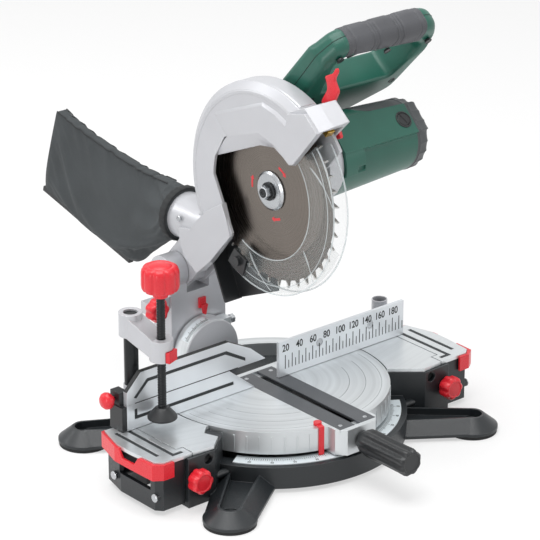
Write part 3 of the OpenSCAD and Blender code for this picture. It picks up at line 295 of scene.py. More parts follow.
def skin(name, points, finish, body, form="tube", crease=CREASE):
    """A piece from a grid of points (n, m, 3): a tube closed round and capped at both ends, a ring closed both ways,
    or an open sheet."""
    n, m, _ = points.shape
    i, j = np.meshgrid(np.arange(n if form == "ring" else n - 1), np.arange(m - 1 if form == "sheet" else m),
                       indexing="ij")
    i, j = i.ravel(), j.ravel()
    i1, j1 = (i + 1) % n, (j + 1) % m
    faces = np.stack([i * m + j, i1 * m + j, i1 * m + j1, i * m + j1], 1).tolist()
    if form == "tube":
        faces += [list(range(m)), list(range((n - 1) * m, n * m))]
    return piece(name, points.reshape(-1, 3), faces, finish, body, crease)


def rounded(points, radius, steps=5):
    """A closed outline with each corner replaced by a quadratic curve that starts and ends radius away from it."""
    p = np.asarray(points, float)
    r = np.broadcast_to(np.asarray(radius, float), len(p))
    before, after = np.roll(p, 1, 0) - p, np.roll(p, -1, 0) - p
    la, lb = np.linalg.norm(before, axis=1), np.linalg.norm(after, axis=1)
    cut = np.minimum(r, 0.48 * np.minimum(la, lb))[:, None]
    a, b = p + before / la[:, None] * cut, p + after / lb[:, None] * cut
    t = np.linspace(0, 1, steps + 1)[None, :, None]
    return ((1 - t) ** 2 * a[:, None] + 2 * t * (1 - t) * p[:, None] + t ** 2 * b[:, None]).reshape(-1, 2)


def inset(outline, d):
    """A closed outline moved in by d along the mitred normals of its corners."""
    p = np.asarray(outline, float)
    e = np.roll(p, -1, 0) - p
    e /= np.maximum(np.linalg.norm(e, axis=1), 1e-9)[:, None]
    n = np.stack([-e[:, 1], e[:, 0]], 1)
    area = np.sum(p[:, 0] * np.roll(p[:, 1], -1) - np.roll(p[:, 0], -1) * p[:, 1])
    n = n if area > 0 else -n
    m = n + np.roll(n, 1, 0)
    m /= np.maximum(0.35, np.sum(m * n, 1))[:, None]
    return p + m * d


def slab(name, outline, levels, place, finish, body, crease=CREASE):
    """An outline carried through levels of (inset, height), closed at both ends; place maps (u, v, height) to
    x, y, z."""
    layers = np.stack([place(*inset(outline, d).T, np.full(len(outline), h)) for d, h in levels])
    return skin(name, layers, finish, body, crease=crease)


def soft_levels(h0, h1, r, steps=3):
    """Levels from h0 to h1 whose two edges are quarter rounds of radius r."""
    s = np.sign(h1 - h0)
    t = np.linspace(0, math.pi / 2, steps + 1)
    low = [(r * (1 - math.sin(a)), h0 + s * r * (1 - math.cos(a))) for a in t]
    return low + [(d, h1 + h0 - h) for d, h in reversed(low)]


def turned(name, profile, start, axis, finish, body, flutes=0, depth=0.0, turns=48, crease=CREASE, power=1.0):
    """A profile of (distance along axis, radius, flute share) turned about an axis; the radius dips flutes times
    round."""
    profile = np.array([(*p, 0.0) if len(p) == 2 else p for p in profile], float)
    start, axis = np.asarray(start, float), np.asarray(axis, float) / np.linalg.norm(axis)
    side = np.cross(axis, [0, 0, 1] if abs(axis[2]) < 0.9 else [1, 0, 0])
    side /= np.linalg.norm(side)
    up = np.cross(axis, side)
    a = np.linspace(0, 2 * math.pi, turns, endpoint=False)
    dip = depth * np.abs(np.cos(flutes * a / 2)) ** (4.0 * power) if flutes else 0 * a
    r = np.maximum(profile[:, 1, None] - profile[:, 2, None] * dip[None, :], EPS)
    p = (start + profile[:, 0, None, None] * axis
         + r[..., None] * (np.cos(a)[:, None] * side + np.sin(a)[:, None] * up))
    return skin(name, p, finish, body, crease=crease)


def tube(name, path, radius, finish, body, sides=8):
    """A round tube along a path of points: at each one a circle square to the path, in a frame carried along it."""
    p = np.asarray(path, float)
    t = np.gradient(p, axis=0)
    t /= np.linalg.norm(t, axis=1)[:, None]
    ref = np.array([1.0, 0.0, 0.0]) if abs(t[:, 0]).mean() < 0.8 else np.array([0.0, 0.0, 1.0])
    a = np.cross(t, ref)
    a /= np.linalg.norm(a, axis=1)[:, None]
    b = np.cross(t, a)
    w = np.linspace(0, 2 * math.pi, sides, endpoint=False)
    r = np.broadcast_to(np.asarray(radius, float), len(p))[:, None, None]
    ring = p[:, None] + r * (np.cos(w)[None, :, None] * a[:, None] + np.sin(w)[None, :, None] * b[:, None])
    return skin(name, ring, finish, body)


def smooth_path(points, n):
    """n points on a Catmull-Rom curve through the given ones, evenly spread by index."""
    p = np.asarray(points, float)
    q = np.vstack([2 * p[0] - p[1], p, 2 * p[-1] - p[-2]])
    s = np.linspace(0, len(p) - 1, n)
    k = np.minimum(s.astype(int), len(p) - 2)
    t = (s - k)[:, None]
    a, b, c, d = q[k], q[k + 1], q[k + 2], q[k + 3]
    return 0.5 * (2 * b + (c - a) * t + (2 * a - 5 * b + 4 * c - d) * t ** 2 + (3 * b - a - 3 * c + d) * t ** 3)


def many(name, centres, axis_u, axis_v, axis_w, size, finish, body):
    """Many small boxes in one mesh: each has its centre, three axes and half sizes, one for all or one each."""
    n = len(centres)
    corner = np.array([(x, y, z) for x in (-1, 1) for y in (-1, 1) for z in (-1, 1)], float)
    size = np.broadcast_to(np.asarray(size, float), (n, 3))
    off = sum(corner[None, :, k, None] * np.broadcast_to(np.asarray(axis, float), (n, 3))[:, None]
              * size[:, None, k, None] for k, axis in enumerate((axis_u, axis_v, axis_w)))
    v = (np.asarray(centres, float)[:, None] + off).reshape(-1, 3)
    box = np.array([(0, 1, 3, 2), (4, 6, 7, 5), (0, 4, 5, 1), (2, 3, 7, 6), (0, 2, 6, 4), (1, 5, 7, 3)])
    f = (box[None] + 8 * np.arange(n)[:, None, None]).reshape(-1, 4)
    return piece(name, v, f, finish, body)


FIGURE_SIZE = np.array([1.38 * 0.84, 1.38, 1.38])
FIGURE_BOLD = 0.018


def figures(name, labels, finish, body, height):
    """Generic scale numbers in one mesh: each label is (text, centre, right, up), set flat on its surface."""
    verts, faces, base = [], [], 0
    for text, centre, right, up in labels:
        curve = bpy.data.curves.new("figure", "FONT")
        curve.body, curve.align_x, curve.align_y = text, "CENTER", "CENTER"
        curve.size, curve.offset = 1.0, FIGURE_BOLD
        holder = bpy.data.objects.new("figure", curve)
        me = holder.to_mesh()
        co = np.zeros(len(me.vertices) * 3)
        me.vertices.foreach_get("co", co)
        co = co.reshape(-1, 3) * height * FIGURE_SIZE
        verts.append(np.asarray(centre) + co[:, :1] * np.asarray(right) + co[:, 1:2] * np.asarray(up))
        faces += [[base + i for i in p.vertices] for p in me.polygons]
        base += len(co)
        holder.to_mesh_clear()
        bpy.data.objects.remove(holder)
        bpy.data.curves.remove(curve)
    me = bpy.data.meshes.new(name)
    me.from_pydata((np.vstack(verts) * MM).tolist(), [], faces)
    return settle(name, me, finish, body)


def around(centre, x, deg, r):
    """Points by place along X, angle from the back up in degrees, and distance from the axis through centre."""
    x, t, r = np.broadcast_arrays(x, np.radians(deg), r)
    return np.stack([x, centre[1] + r * np.cos(t), centre[2] + r * np.sin(t)], -1)


def spokes(deg, i, j):
    """Outward and sideways unit vectors at angles in degrees, in the plane of axes i and j."""
    t = np.radians(deg)
    out, side = np.zeros((2, len(t), 3))
    out[:, i], out[:, j] = np.cos(t), np.sin(t)
    side[:, i], side[:, j] = -np.sin(t), np.cos(t)
    return out, side


def ease(v, a, b):
    """Smooth step of v from a to b."""
    t = np.clip((v - a) / (b - a), 0, 1)
    return t * t * (3 - 2 * t)


X = np.array([1.0, 0, 0])
Y = np.array([0, 1.0, 0])
Z = np.array([0, 0, 1.0])


# Head: the guard's raised face, the arm's cheek and the rim line

GUARD_WALL = -12.75


def relief(name, points, facets):
    """Flat silver facets that stand on the guard's wall: points (x, y, z), facets as lists of their numbers."""
    front = np.asarray(points, float)
    rear = front.copy()
    rear[:, 0] = GUARD_WALL
    n = len(front)
    sides = [(f[i], f[(i + 1) % len(f)]) for f in facets for i in range(len(f))]
    rim = [[a, b, b + n, a + n] for a, b in sides if (b, a) not in sides]
    faces = [list(f) for f in facets] + [[i + n for i in reversed(f)] for f in facets] + rim
    o = piece(name, np.vstack([front, rear]), faces, silver, "head")
    bevel = o.modifiers.new("cast_edge", "BEVEL")
    bevel.width, bevel.segments, bevel.limit_method = 0.6 * MM, 2, "ANGLE"
    bevel.angle_limit = math.radians(18)
    return o


def guard_face():
    """The guard's left face: a plane that rises from flush at the back to 4 mm at the nose, with sloped upper and
    lower borders. Places are from the blade axis."""
    flush_x, slope, back_y = -17.2, 0.0236, 75

    def plane(y):
        return flush_x - slope * (back_y - y)
    top = [(74.6, 69.2), (-4.9, 101.4), (-26.5, 97.0), (-44.7, 88.9)]
    nose = [(-47.9, 104.0), (-76.0, 111.0), (-96.0, 95.0), (-57.5, 50.5)]
    low = [(-50.5, 48.0), (-26.6, 62.8), (1.0, 69.5), (54.8, 50.1)]
    crest = [(76.8, 72.4), (-4.6, 105.2), (-27.6, 100.6), (-46.6, 92.6)]
    step = [(60.0, 45.0), (15.0, 62.3)]
    edge = [(80.5, 20.1), (4.2, 53.3), (-22.0, 57.5), (-44.0, 44.2), (-52.5, 45.8)]
    p = [(plane(y), y, z) for y, z in top + nose + low]
    p += [(x, y, z) for x, row in ((-16.9, crest), (-17.0, step), (-13.2, edge)) for y, z in row]
    # Numbers: top 0-3, nose 4-7, low 8-11, crest 12-15, step 16-17, edge 18-22
    facets = [list(range(12)), [1, 0, 12, 13], [2, 1, 13, 14], [3, 2, 14, 15],
              [11, 10, 17, 16], [10, 9, 20, 19, 17], [16, 17, 19, 18], [9, 8, 21, 20], [8, 7, 22, 21]]
    face = relief("guard_face", np.array(p) + ARBOR, facets)


def arm_cheek():
    """The arm's cheek: one flat casting that leans out from the guard's face to the side of the chute and runs down
    to the pivot; beside it the round chute that the bag hangs on."""
    p = [(-23.6, 97.4, 243.6), (-25.5, 110.7, 229.7), (-27.1, 121.1, 216.4), (-29.6, 138.2, 214.2),
         (-29.3, 136.1, 197.1), (-28.4, 129.9, 181.1), (-25.7, 111.5, 166.0), (-22.8, 92.2, 184.8),
         (-18.3, 61.6, 223.0), (-18.7, 64.3, 233.8), (-20.1, 74.2, 258.9)]
    o = relief("arm_cheek", p, [list(range(len(p)))])
    chute = [(0, EPS), (0, 23.0), (68, 27.2), (69.6, 27.2), (70, 26.8), (70, 24.8), (2, 21.0), (2, EPS)]
    o = turned("chute_tube", chute, (0.5, 100, 215.6), (-0.02, 1, 0), silver, "head", turns=96)
    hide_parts("dust_chute")
    screw = [(0, EPS), (0, 3.4), (1.6, 3.0), (2.2, 1.8), (2.2, EPS)]
    o = turned("chute_screw", screw, (-26.6, 139.5, 223.5), (-1, 0, 0.25), steel, "head", turns=24)


def rim_bead():
    """The guard's rim: a rounded shoulder carried round the blade axis from the chute to the nose."""
    deg = np.linspace(-28, 116, 110)
    r, x = np.array([(109.5, -17.25), (112.6, -17.3), (114.2, -16.6), (118.6, -13.0), (121.6, -9.6), (122.8, -7.6),
                     (123.0, -6.0), (122.9, 0.0), (122.9, 11.5), (122.4, 13.6), (121.0, 14.3), (118.0, 14.3),
                     (118.0, -13.6), (109.5, -14.0)]).T
    o = skin("guard_rim", around(ARBOR, x[None], deg[:, None], r[None]), silver, "head", crease=24)


# Head: the handle loop

HANDLE = np.array([0.0, 10.3, 395.8])
LOOP_TILT = math.radians(50)
LOOP_V = np.array([0.0, -math.cos(LOOP_TILT), math.sin(LOOP_TILT)])
LOOP_W = np.array([0.0, math.sin(LOOP_TILT), math.cos(LOOP_TILT)])
LOOP_OUT = [(24, -52), (24, 64), (35, 85), (46, 91), (166, 91), (177, 85), (182.5, 73), (178, 36), (172, -3),
            (167, -22), (120, -48), (70, -68)]
LOOP_IN = [(50, 8), (46.5, 52), (50, 61), (57, 65.5), (158, 55), (165, 51), (166, 46), (159, 26), (152, 9), (148, 5),
           (110, 5.5), (70, 7)]
LOOP_ROUND = [6, 5, 4, 5, 6, 6, 8, 20, 10, 8, 14, 6]
LOOP_HALF = 18.0
GRIP_TOP = 91.0
WELLS = [(41, 73), (111, 66.5), (172.5, 63), (160.5, -6), (41, 0)]


def on_loop(x, v, w):
    """A point from the handle's own place: x along the grip, v to the front and up, w to the back."""
    x, v, w = np.broadcast_arrays(*(np.asarray(c, float) for c in (x, v, w)))
    return HANDLE + x[..., None] * X + v[..., None] * LOOP_V + w[..., None] * LOOP_W


def ring_section(a, b, r, n):
    """Offsets round a rounded rectangle of half sizes a and b with corner radius r, for arrays of a, b and r."""
    t = np.linspace(0, math.pi / 2, n)
    quads = []
    for k, (sa, sb) in enumerate(((1, 1), (-1, 1), (-1, -1), (1, -1))):
        th = t + k * math.pi / 2
        quads.append(np.stack([sa * (a - r)[:, None] + r[:, None] * np.cos(th),
                               sb * (b - r)[:, None] + r[:, None] * np.sin(th)], -1))
    return np.concatenate(quads, 1)


def handle_loop():
    """Loop shell: rounded sections carried between the outer and the inner outline, slimmer at the grip, with a dark
    parting line at w = 0, a neck down to the gear case and dished screw wells on the operator's side."""
    out = rounded(LOOP_OUT, LOOP_ROUND, 6)
    inn = rounded(LOOP_IN, [min(r, 7) for r in LOOP_ROUND], 6)
    mid, half = (out + inn) / 2, (out - inn) / 2
    length = np.linalg.norm(half, axis=1)
    grip = np.clip((mid[:, 1] - 40) / 25, 0, 1)
    r = np.minimum(4 + 7.5 * grip, length * 0.92)
    sec = ring_section(length, LOOP_HALF - 3.2 * grip, r, 8)
    xy = mid[:, None] + half[:, None] / length[:, None, None] * sec[..., :1]
    p = on_loop(xy[..., 0], xy[..., 1], sec[..., 1])
    o = skin("handle_shell", p, green, "head", "ring", crease=38)
    line = tube("handle_seam", on_loop(*out[3:52].T, 0.0), 0.45, seam_dark, "head")
    neck = slab("handle_neck", rounded([(32, -58), (78, -58), (78, -12), (32, -12)], 5, 4), soft_levels(-8, -33, 3),
                on_loop, green, "head")
    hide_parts("handle_front", "handle_rear")
    dish = [(-2.2, EPS), (-2.2, 3.6), (0.25, 3.6), (0.25, 4.1), (0.0, 4.5)]
    for i, (x, v) in enumerate(WELLS):
        well = turned("handle_well_%d" % i, dish, on_loop(x, v, -LOOP_HALF), -LOOP_W, black, "head", turns=24)


def grip_sleeve():
    """Soft sleeve: the grip bar's section grown by 1 mm over its top and sides, with grooves along, across and round
    three pads, and its underside kept up where the trigger needs room."""
    n, x0, x1 = 180, 49.0, 160.5
    half_w, corner = 14.8, 11.5
    pads, gaps = (71, 105, 139), (88, 122, x0 + 2.6, x1 - 2.6)
    pad_half, pad_round = 8.0, 5.0
    trigger_half, trigger_v, side_v = 10, 18.5, 10.5
    x = np.linspace(x0, x1, n)
    in_v = np.interp(x, [x0, 57, 158, x1], [62.5, 65.4, 55.2, 54.0])
    mid_v, half_v = (GRIP_TOP + in_v) / 2, (GRIP_TOP - in_v) / 2
    grow = np.sqrt(np.clip(np.minimum(x - x0, x1 - x) / 1.6, 0, 1))
    sec = ring_section(half_v + grow, half_w + grow, np.minimum(corner + grow, half_v * 0.94), 26)
    pos, wide = sec[..., 0], sec[..., 1]
    along = x[:, None] + 0 * wide

    def groove(d, w):
        return np.exp(-(d / w) ** 2)
    depth = 0.8 * groove(wide, 0.6) * (pos > 0)
    for c in pads:
        side = np.maximum(np.abs(along - c) - pad_half, 0)
        lower = np.maximum(-(pos + half_v[:, None] * 0.05), 0)
        d = np.hypot(side, lower) - pad_round
        depth = depth + 0.9 * groove(d, 0.8) * (np.abs(wide) > 1.2) - 0.6 * np.clip(-d / 3, 0, 1)
    for c in gaps:
        depth = depth + 0.6 * groove(along - c, 0.7) * (pos > 2)
    norm = sec / np.linalg.norm(sec, axis=-1, keepdims=True)
    q = sec - norm * depth[..., None]
    floor_v = in_v[:, None] + np.where(np.abs(wide) < trigger_half, trigger_v, side_v)
    v = np.maximum(mid_v[:, None] + q[..., 0], floor_v)
    o = skin("grip_sleeve", on_loop(along, v, q[..., 1]), grip_rubber, "head", crease=50)
    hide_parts("handle_grip")


def thumb_lever():
    """Guard release: a bent red blade, its side outline with rounded corners carried across its width."""
    outline = [(-77.6, 440.5), (-73, 433), (-60, 427), (-63.5, 420.5), (-64.5, 413), (-55, 398.5), (-59, 386),
               (-77, 361), (-87, 365), (-74.5, 389), (-75.5, 403.8), (-81.3, 414.4), (-74.2, 426.2), (-79.8, 436)]
    o = slab("thumb_lever", rounded(outline, 3.0, 4), soft_levels(21.2, 25.6, 0.9),
             lambda u, v, h: np.stack([h, u + MITRE_Y, v], -1), red, "lever")
    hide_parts("lock_lever")


def laser_block():
    """Line laser in the nose's mouth: a small brass block set square to the blade."""
    o = many("laser_block", [[4.0, -73.5, 377.5]], X, (0, -0.77, -0.64), (0, 0.64, -0.77), (4.4, 4.2, 4.2),
             brass, "head")


# Head: motor

BAND_DEG = 135.0
MOTOR_X0, MOTOR_X1 = 34.6, 146.0
MOTOR_R, MOTOR_TAPER = 45.0, 6.0
VENTS, VENT_RING = 20, 28.5
TONGUE_DEG = (52, 107)


def motor_radius(x, th):
    """Radius of the housing: a slow cone, a flat band at 135 degrees that stands proud, a block below it near the
    gears, and a notch in that block."""
    r0 = MOTOR_R - MOTOR_TAPER * (x - MOTOR_X0) / (MOTOR_X1 - MOTOR_X0)
    d = (th - BAND_DEG + 180) % 360 - 180
    flat = (r0 + 0.3) / np.cos(np.radians(np.clip(d, -45, 45)))
    on_band = ease(d, -26.5, -25.0) * (1 - ease(d, 24.0, 26.5))
    block = ease(d, 22, 25) * (1 - ease(d, 56, 58)) * (1 - ease(x, 63, 64.5))
    r = r0 + on_band * (flat - r0)
    r = np.maximum(r, r0 + 3.6 * block)
    notch = ease(d, 46, 47) * (1 - ease(d, 53, 54)) * ease(x, 52, 53) * (1 - ease(x, 62, 63))
    return r - 2.6 * notch


def motor_shell():
    """Housing wall as a grid of length and angle, closed by its two ends; a scalloped and vented end cap on the same
    outline, with a long tongue over the top of the housing."""
    steps = [52, 52.5, 53, 62, 62.5, 63, 63.5, 64, 64.5]
    x = np.unique(np.concatenate([np.linspace(MOTOR_X0, MOTOR_X1, 90), steps]))
    th = np.linspace(0, 360, 300, endpoint=False)
    p = around(MOTOR, x[:, None], th[None], motor_radius(x[:, None], th[None]))
    o = skin("motor_shell", p, green, "head", crease=30)
    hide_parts("motor_housing")
    lx = MOTOR_X1 + np.array([-0.1, 2.5, 3.0, 8, 12, 15, 17, 18.0, 18.0, 17.4])
    scale = np.array([1.0, 1.0, 1.015, 1.015, 1.005, 0.975, 0.93, 0.86, 0.62, 0.60])
    base = motor_radius(np.full((1, 1), MOTOR_X1), th[None])
    wave = np.abs(np.sin(np.radians(th[None] * 10))) ** 0.6
    scallop = 1 - 0.035 * wave * ease(lx[:, None], MOTOR_X1 + 3, MOTOR_X1 + 6)
    q = around(MOTOR, lx[:, None], th[None], base * scale[:, None] * scallop)
    cap = skin("motor_cap", q, cap_grey, "head", crease=34)
    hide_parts("motor_end_cap")
    # Vent slots round the cap's end, as thin black inlays: painted shade where the openings are
    rad, tan = spokes((np.arange(VENTS) + 0.5) * 360 / VENTS, 1, 2)
    c = np.array([MOTOR_X1 + 17.75, MOTOR[1], MOTOR[2]]) + rad * VENT_RING
    slots = many("cap_vents", c, rad, tan, X, (4.2, 1.5, 0.6), black, "head")
    # The tongue: its front edge is a rounded curve, and its borders sink into the housing
    th2 = np.linspace(*TONGUE_DEG, 60)
    start = 84 + 26 * np.abs((th2 - 80) / 28) ** 2.4
    s = np.linspace(0, 1, 40)
    xx = start[None] + (MOTOR_X1 + 0.5 - start[None]) * s[:, None]
    border = np.minimum(th2 - TONGUE_DEG[0], TONGUE_DEG[1] - th2)[None] / 1.2
    rise = 0.9 * np.sqrt(np.clip(np.minimum(s[:, None] / 0.03, border), 0, 1))
    r = motor_radius(xx, th2[None]) - 0.5 + 1.1 * rise
    tongue = skin("cap_tongue", around(MOTOR, xx, th2[None], r), cap_grey, "head", "sheet", crease=40)


def brush_cap():
    """Screw caps over the brushes: a dished disc with a rim and a driver slot, one on each side of the motor; the
    slot is a flat matt black bar that paints the shade in it.
    """
    profile = [(-3, EPS), (-3, 9.8), (0.9, 9.8), (1.5, 9.2), (1.5, 8.4), (0.5, 8.0), (0.5, 7.4),
               (1.2, 6.8), (1.4, EPS)]
    for side in (0, 1):
        t = math.radians(BAND_DEG + 180 * side)
        d, across = np.array([0, math.cos(t), math.sin(t)]), np.array([0, -math.sin(t), math.cos(t)])
        at = np.array([133.5, *MOTOR[1:]]) + d * 39.8
        o = turned("brush_cap_%d" % side, profile, at, d, black, "head", turns=40)
        # Matt black bar: painted shade of the driver slot
        bar = many("brush_slot_%d" % side, [at + d * 1.36], 0.35 * X + 0.94 * across, 0.94 * X - 0.35 * across, d,
                   (5.5, 0.8, 0.15), foot_rubber, "head")
        if side == 0:
            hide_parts("brush_caps")


# Head: dust bag

BAG_TOP = [(160, 246), (170, 247), (184, 249), (214, 249), (248, 252), (303, 260), (353, 269), (394, 278)]
BAG_LOW = [(160, 185.4), (170, 186), (188, 177), (222, 151), (254, 130), (310, 141), (365, 152.5), (428, 171)]
BAG_HALF = np.array([30.3, 30.0, 29.0, 27.0, 24.0, 19.0, 14.0, 7.0])
BAG_ROWS, BAG_SIDE, BAG_GUSSET, BAG_HEM = 76, 34, 8, 4
BAG_X = -1.0
SEAM_FROM, HEM_FROM, SEWN_FROM = 22, 46, 18


def bag_loft():
    """Rings between a top and a lower edge: round at the mouth, then a narrow gusset on top, full sides with folds
    that fan out from the mouth, and a pinched hem; a column's place round the ring runs from the gusset down the left
    and back up the right."""
    def between(a, b, n):
        return np.linspace(a, b, n + 2)[1:-1]
    s = np.linspace(0, len(BAG_HALF) - 1, BAG_ROWS)[:, None]
    top, low = smooth_path(BAG_TOP, BAG_ROWS), smooth_path(BAG_LOW, BAG_ROWS)
    half = np.interp(s, np.arange(len(BAG_HALF)), BAG_HALF)
    down = np.linspace(-1, 1, BAG_SIDE)
    p = np.concatenate([down, np.ones(BAG_HEM), down[::-1], -np.ones(BAG_GUSSET)])
    across = np.concatenate([-np.ones(BAG_SIDE), between(-1, 1, BAG_HEM), np.ones(BAG_SIDE),
                             between(1, -1, BAG_GUSSET)])
    gusset, hem = 0.21, 0.08
    left = gusset + (math.pi - gusset - hem) * (down + 1) / 2
    phi = np.concatenate([left, math.pi + hem * between(-1, 1, BAG_HEM), 2 * math.pi - left[::-1],
                          2 * math.pi + gusset * between(-1, 1, BAG_GUSSET)])
    flat = ease(s, 1.0, 3.4)
    edge = 6.5 - 4.1 * (p + 1) / 2
    wide = edge + (half - edge) * (1 - np.abs(p) ** 2.4)
    inner = np.clip((1 - np.abs(p)) * 4, 0, 1) * (np.abs(across) > 0.99)
    fold = (2.0 * np.exp(-((s - 2.3) / 0.9) ** 2) * np.sin(11 * p + 2.5 * s)
            + 1.1 * np.exp(-((s - 4.3) / 1.6) ** 2) * np.sin(5 * p - 2.2 * s + 1.0)) * inner
    x = (1 - flat) * -half * np.sin(phi) + flat * wide * across + fold * across
    u = ((1 - flat) * -np.cos(phi) + flat * p + 1) / 2
    yz = top[:, None] * (1 - u[..., None]) + low[:, None] * u[..., None]
    return np.concatenate([(x + BAG_X)[..., None], yz], -1), p


def let_hang(o, ring, p, spare=0.04, reach=8 * MM, frames=24):
    """Lets the loft go as cloth with some spare length, sewn fast at cuff, hem and far end, and holds each point
    within reach: the move is reach times the hyperbolic tangent of its share of reach."""
    n, m, _ = ring.shape
    hold = np.zeros((n, m))
    hold[:, p < -0.985] = 0.35
    hold[SEWN_FROM:, p > 0.985] = 1.0
    hold[:3], hold[-2:] = 1.0, 1.0
    hold = hold.ravel()
    group = o.vertex_groups.new(name="sewn")
    for w in np.unique(hold[hold > 0]):
        group.add(np.flatnonzero(hold == w).tolist(), float(w), "REPLACE")
    cloth = o.modifiers.new("cloth", "CLOTH")
    c = cloth.settings
    c.quality, c.mass, c.vertex_group_mass = 6, 0.25, "sewn"
    c.tension_stiffness, c.compression_stiffness, c.shear_stiffness, c.bending_stiffness = 25, 12, 8, 0.6
    c.shrink_min = c.shrink_max = -spare
    c.use_pressure, c.uniform_pressure_force = True, 0.5
    c.effector_weights.gravity = 0.6
    cloth.collision_settings.use_collision = False
    cloth.point_cache.frame_start, cloth.point_cache.frame_end = 1, frames
    for f in range(1, frames + 1):
        scene.frame_set(f)
    got = np.zeros(n * m * 3)
    o.evaluated_get(bpy.context.evaluated_depsgraph_get()).to_mesh().vertices.foreach_get("co", got)
    scene.frame_set(1)
    o.modifiers.remove(cloth)
    rest = ring.reshape(-1, 3) * MM
    moved = got.reshape(-1, 3) - rest
    size = np.maximum(np.linalg.norm(moved, axis=1), 1e-9)
    rest = rest + moved * (reach * np.tanh(size / reach) / size)[:, None]
    o.data.vertices.foreach_set("co", rest.ravel())
    o.data.update()
    return rest.reshape(n, m, 3) / MM


def dust_bag():
    """Woven bag with its sewn edges: piped seams along the gusset, an elastic cuff, a hem and the bar that
    closes it."""
    ring, p = bag_loft()
    o = skin("dust_bag_cloth", ring, bag_cloth, "head", crease=170)
    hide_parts("dust_bag")
    ring = let_hang(o, ring, p)
    smooth = o.modifiers.new("round", "SUBSURF")
    smooth.levels = smooth.render_levels = 1
    for name, col, out in (("bag_seam_left", 0, -0.3), ("bag_seam_right", 2 * BAG_SIDE + BAG_HEM - 1, 0.3)):
        seam = tube(name, ring[SEAM_FROM:-1, col] + [out, 0, 0.1], 0.8, bag_tape, "head")
    low = smooth_path(BAG_LOW, BAG_ROWS)[HEM_FROM:]
    hem = tube("bag_hem", np.stack([0 * low[:, 0] + BAG_X, low[:, 0], low[:, 1] - 1.0], -1), 2.9, bag_tape, "head",
               sides=12)
    length = np.linalg.norm(low[-1] - low[0])
    dy, dz = (low[-1] - low[0]) / length
    bar = many("bag_bar", [[BAG_X, *((low[0] + low[-1]) / 2 + [-3.0, -1.9])]], (0, dy, dz), X, (0, -dz, dy),
               (length / 2 + 3.5, 3.2, 3.0), black, "head")
    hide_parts("bag_slider")
    a = np.linspace(0, 2 * math.pi, 120, endpoint=False)
    along = np.array([0, 0.4, 2, 4, 6, 8.0, 9.6, 10.0, 10.0, 0.0])
    r = np.array([30.2, 31.2, 31.9, 32.0, 31.9, 32.0, 31.4, 30.8, 29.0, 29.0])
    gather = np.array([0.3, 0.6, 1, 1, 1, 1, 1, 1, 0, 0])[:, None] * 0.35 * np.sin(26 * a)
    rr = r[:, None] + gather
    pts = np.stack([BAG_X + rr * np.cos(a), 160.0 + along[:, None] + 0 * rr, 215.7 + rr * np.sin(a)], -1)
    cuff = skin("bag_cuff", pts, bag_tape, "head", "ring")


# Blade and the clear guard

TEETH = 40
TIP_R, TIP_LEAN = 105.2, math.degrees(0.1)
ARROW_X, SLOT_X = -1.08, -1.06


def blade_tips():
    """A brazed carbide tip on the leading face of each tooth, a little wider than the plate and leaning forward."""
    pitch = 360.0 / TEETH
    deg = np.arange(TEETH) * pitch + pitch * 0.31
    rad, tan = spokes(deg - TIP_LEAN, 1, 2)
    o = many("carbide_tips", around(ARBOR, 0.0, deg, TIP_R), rad, tan, X, (2.4, 0.7, 1.3), carbide, "blade")


def blade_print():
    """Three red turning arrows on the blade and four expansion slots: flat arcs 0.06 mm off the plate, the slots
    black as painted shade in their openings.
    """
    verts, faces, base = [], [], 0
    s = np.linspace(-13, 5, 14)
    n = len(s)
    for mid in (4.0, 125.0, 256.0):
        inner, outer = (around(ARBOR, ARROW_X, mid + s, r) for r in (30.6, 33.4))
        head = around(ARBOR, ARROW_X, mid + np.array([5.0, 5.0, 13.0]), np.array([28.8, 35.2, 32.0]))
        verts += [inner, outer, head]
        faces += [[base + i, base + i + 1, base + n + i + 1, base + n + i] for i in range(n - 1)]
        faces += [[base + 2 * n, base + 2 * n + 2, base + 2 * n + 1]]
        base += 2 * n + 3
    o = piece("turn_arrows", np.vstack(verts), faces, red, "blade")
    verts, faces, base = [], [], 0
    s = np.linspace(0, 1, 16)
    n = len(s)
    for mid in (38.0, 128.0, 218.0, 308.0):
        verts += [around(ARBOR, SLOT_X, mid + 7 * s ** 2 + w, 99.5 - 22 * s) for w in (-0.22, 0.22)]
        faces += [[base + i, base + i + 1, base + n + i + 1, base + n + i] for i in range(n - 1)]
        base += 2 * n
    # Black arcs: painted shade where the expansion slots open through the plate
    o = piece("relief_slots", np.vstack(verts), faces, black, "blade")


def blade_centre():
    """Outer flange and its bolt: turned rims, a washer, a six-sided head and the socket in it."""
    def on_arbor(name, profile, x, finish, turns):
        return turned(name, profile, (x, *ARBOR[1:]), X, finish, "blade", turns=turns, crease=20)
    o = on_arbor("outer_flange", [(0, EPS), (0, 21.6), (-0.5, 22.0), (-1.6, 22.0), (-3.4, 19.4), (-3.6, 18.6),
                                  (-3.3, 17.8), (-3.3, 11.0), (-3.3, EPS)], -1.1, steel, 72)
    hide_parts("blade_flanges")
    o = on_arbor("bolt_washer", [(0, EPS), (0, 9.6), (-0.4, 10.2), (-1.8, 10.2), (-2.3, 9.6), (-2.3, EPS)], -4.4,
                 black_steel, 48)
    a = np.radians(np.arange(0, 360, 60) + 12.0)
    hexagon = np.stack([np.cos(a), np.sin(a)], -1) * 7.4
    o = slab("bolt_head", hexagon, [(0, -6.6), (0, -12.6), (0.5, -13.2)],
             lambda u, v, h: np.stack([h, ARBOR[1] + u, ARBOR[2] + v], -1), steel, "blade", crease=20)
    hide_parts("arbor_bolt")
    o = on_arbor("bolt_socket", [(0, EPS), (0, 5.2), (-0.6, 5.2), (-0.9, 4.6), (-0.9, 3.0), (-0.2, 2.8), (-0.2, EPS)],
                 -13.1, black_steel, 36)


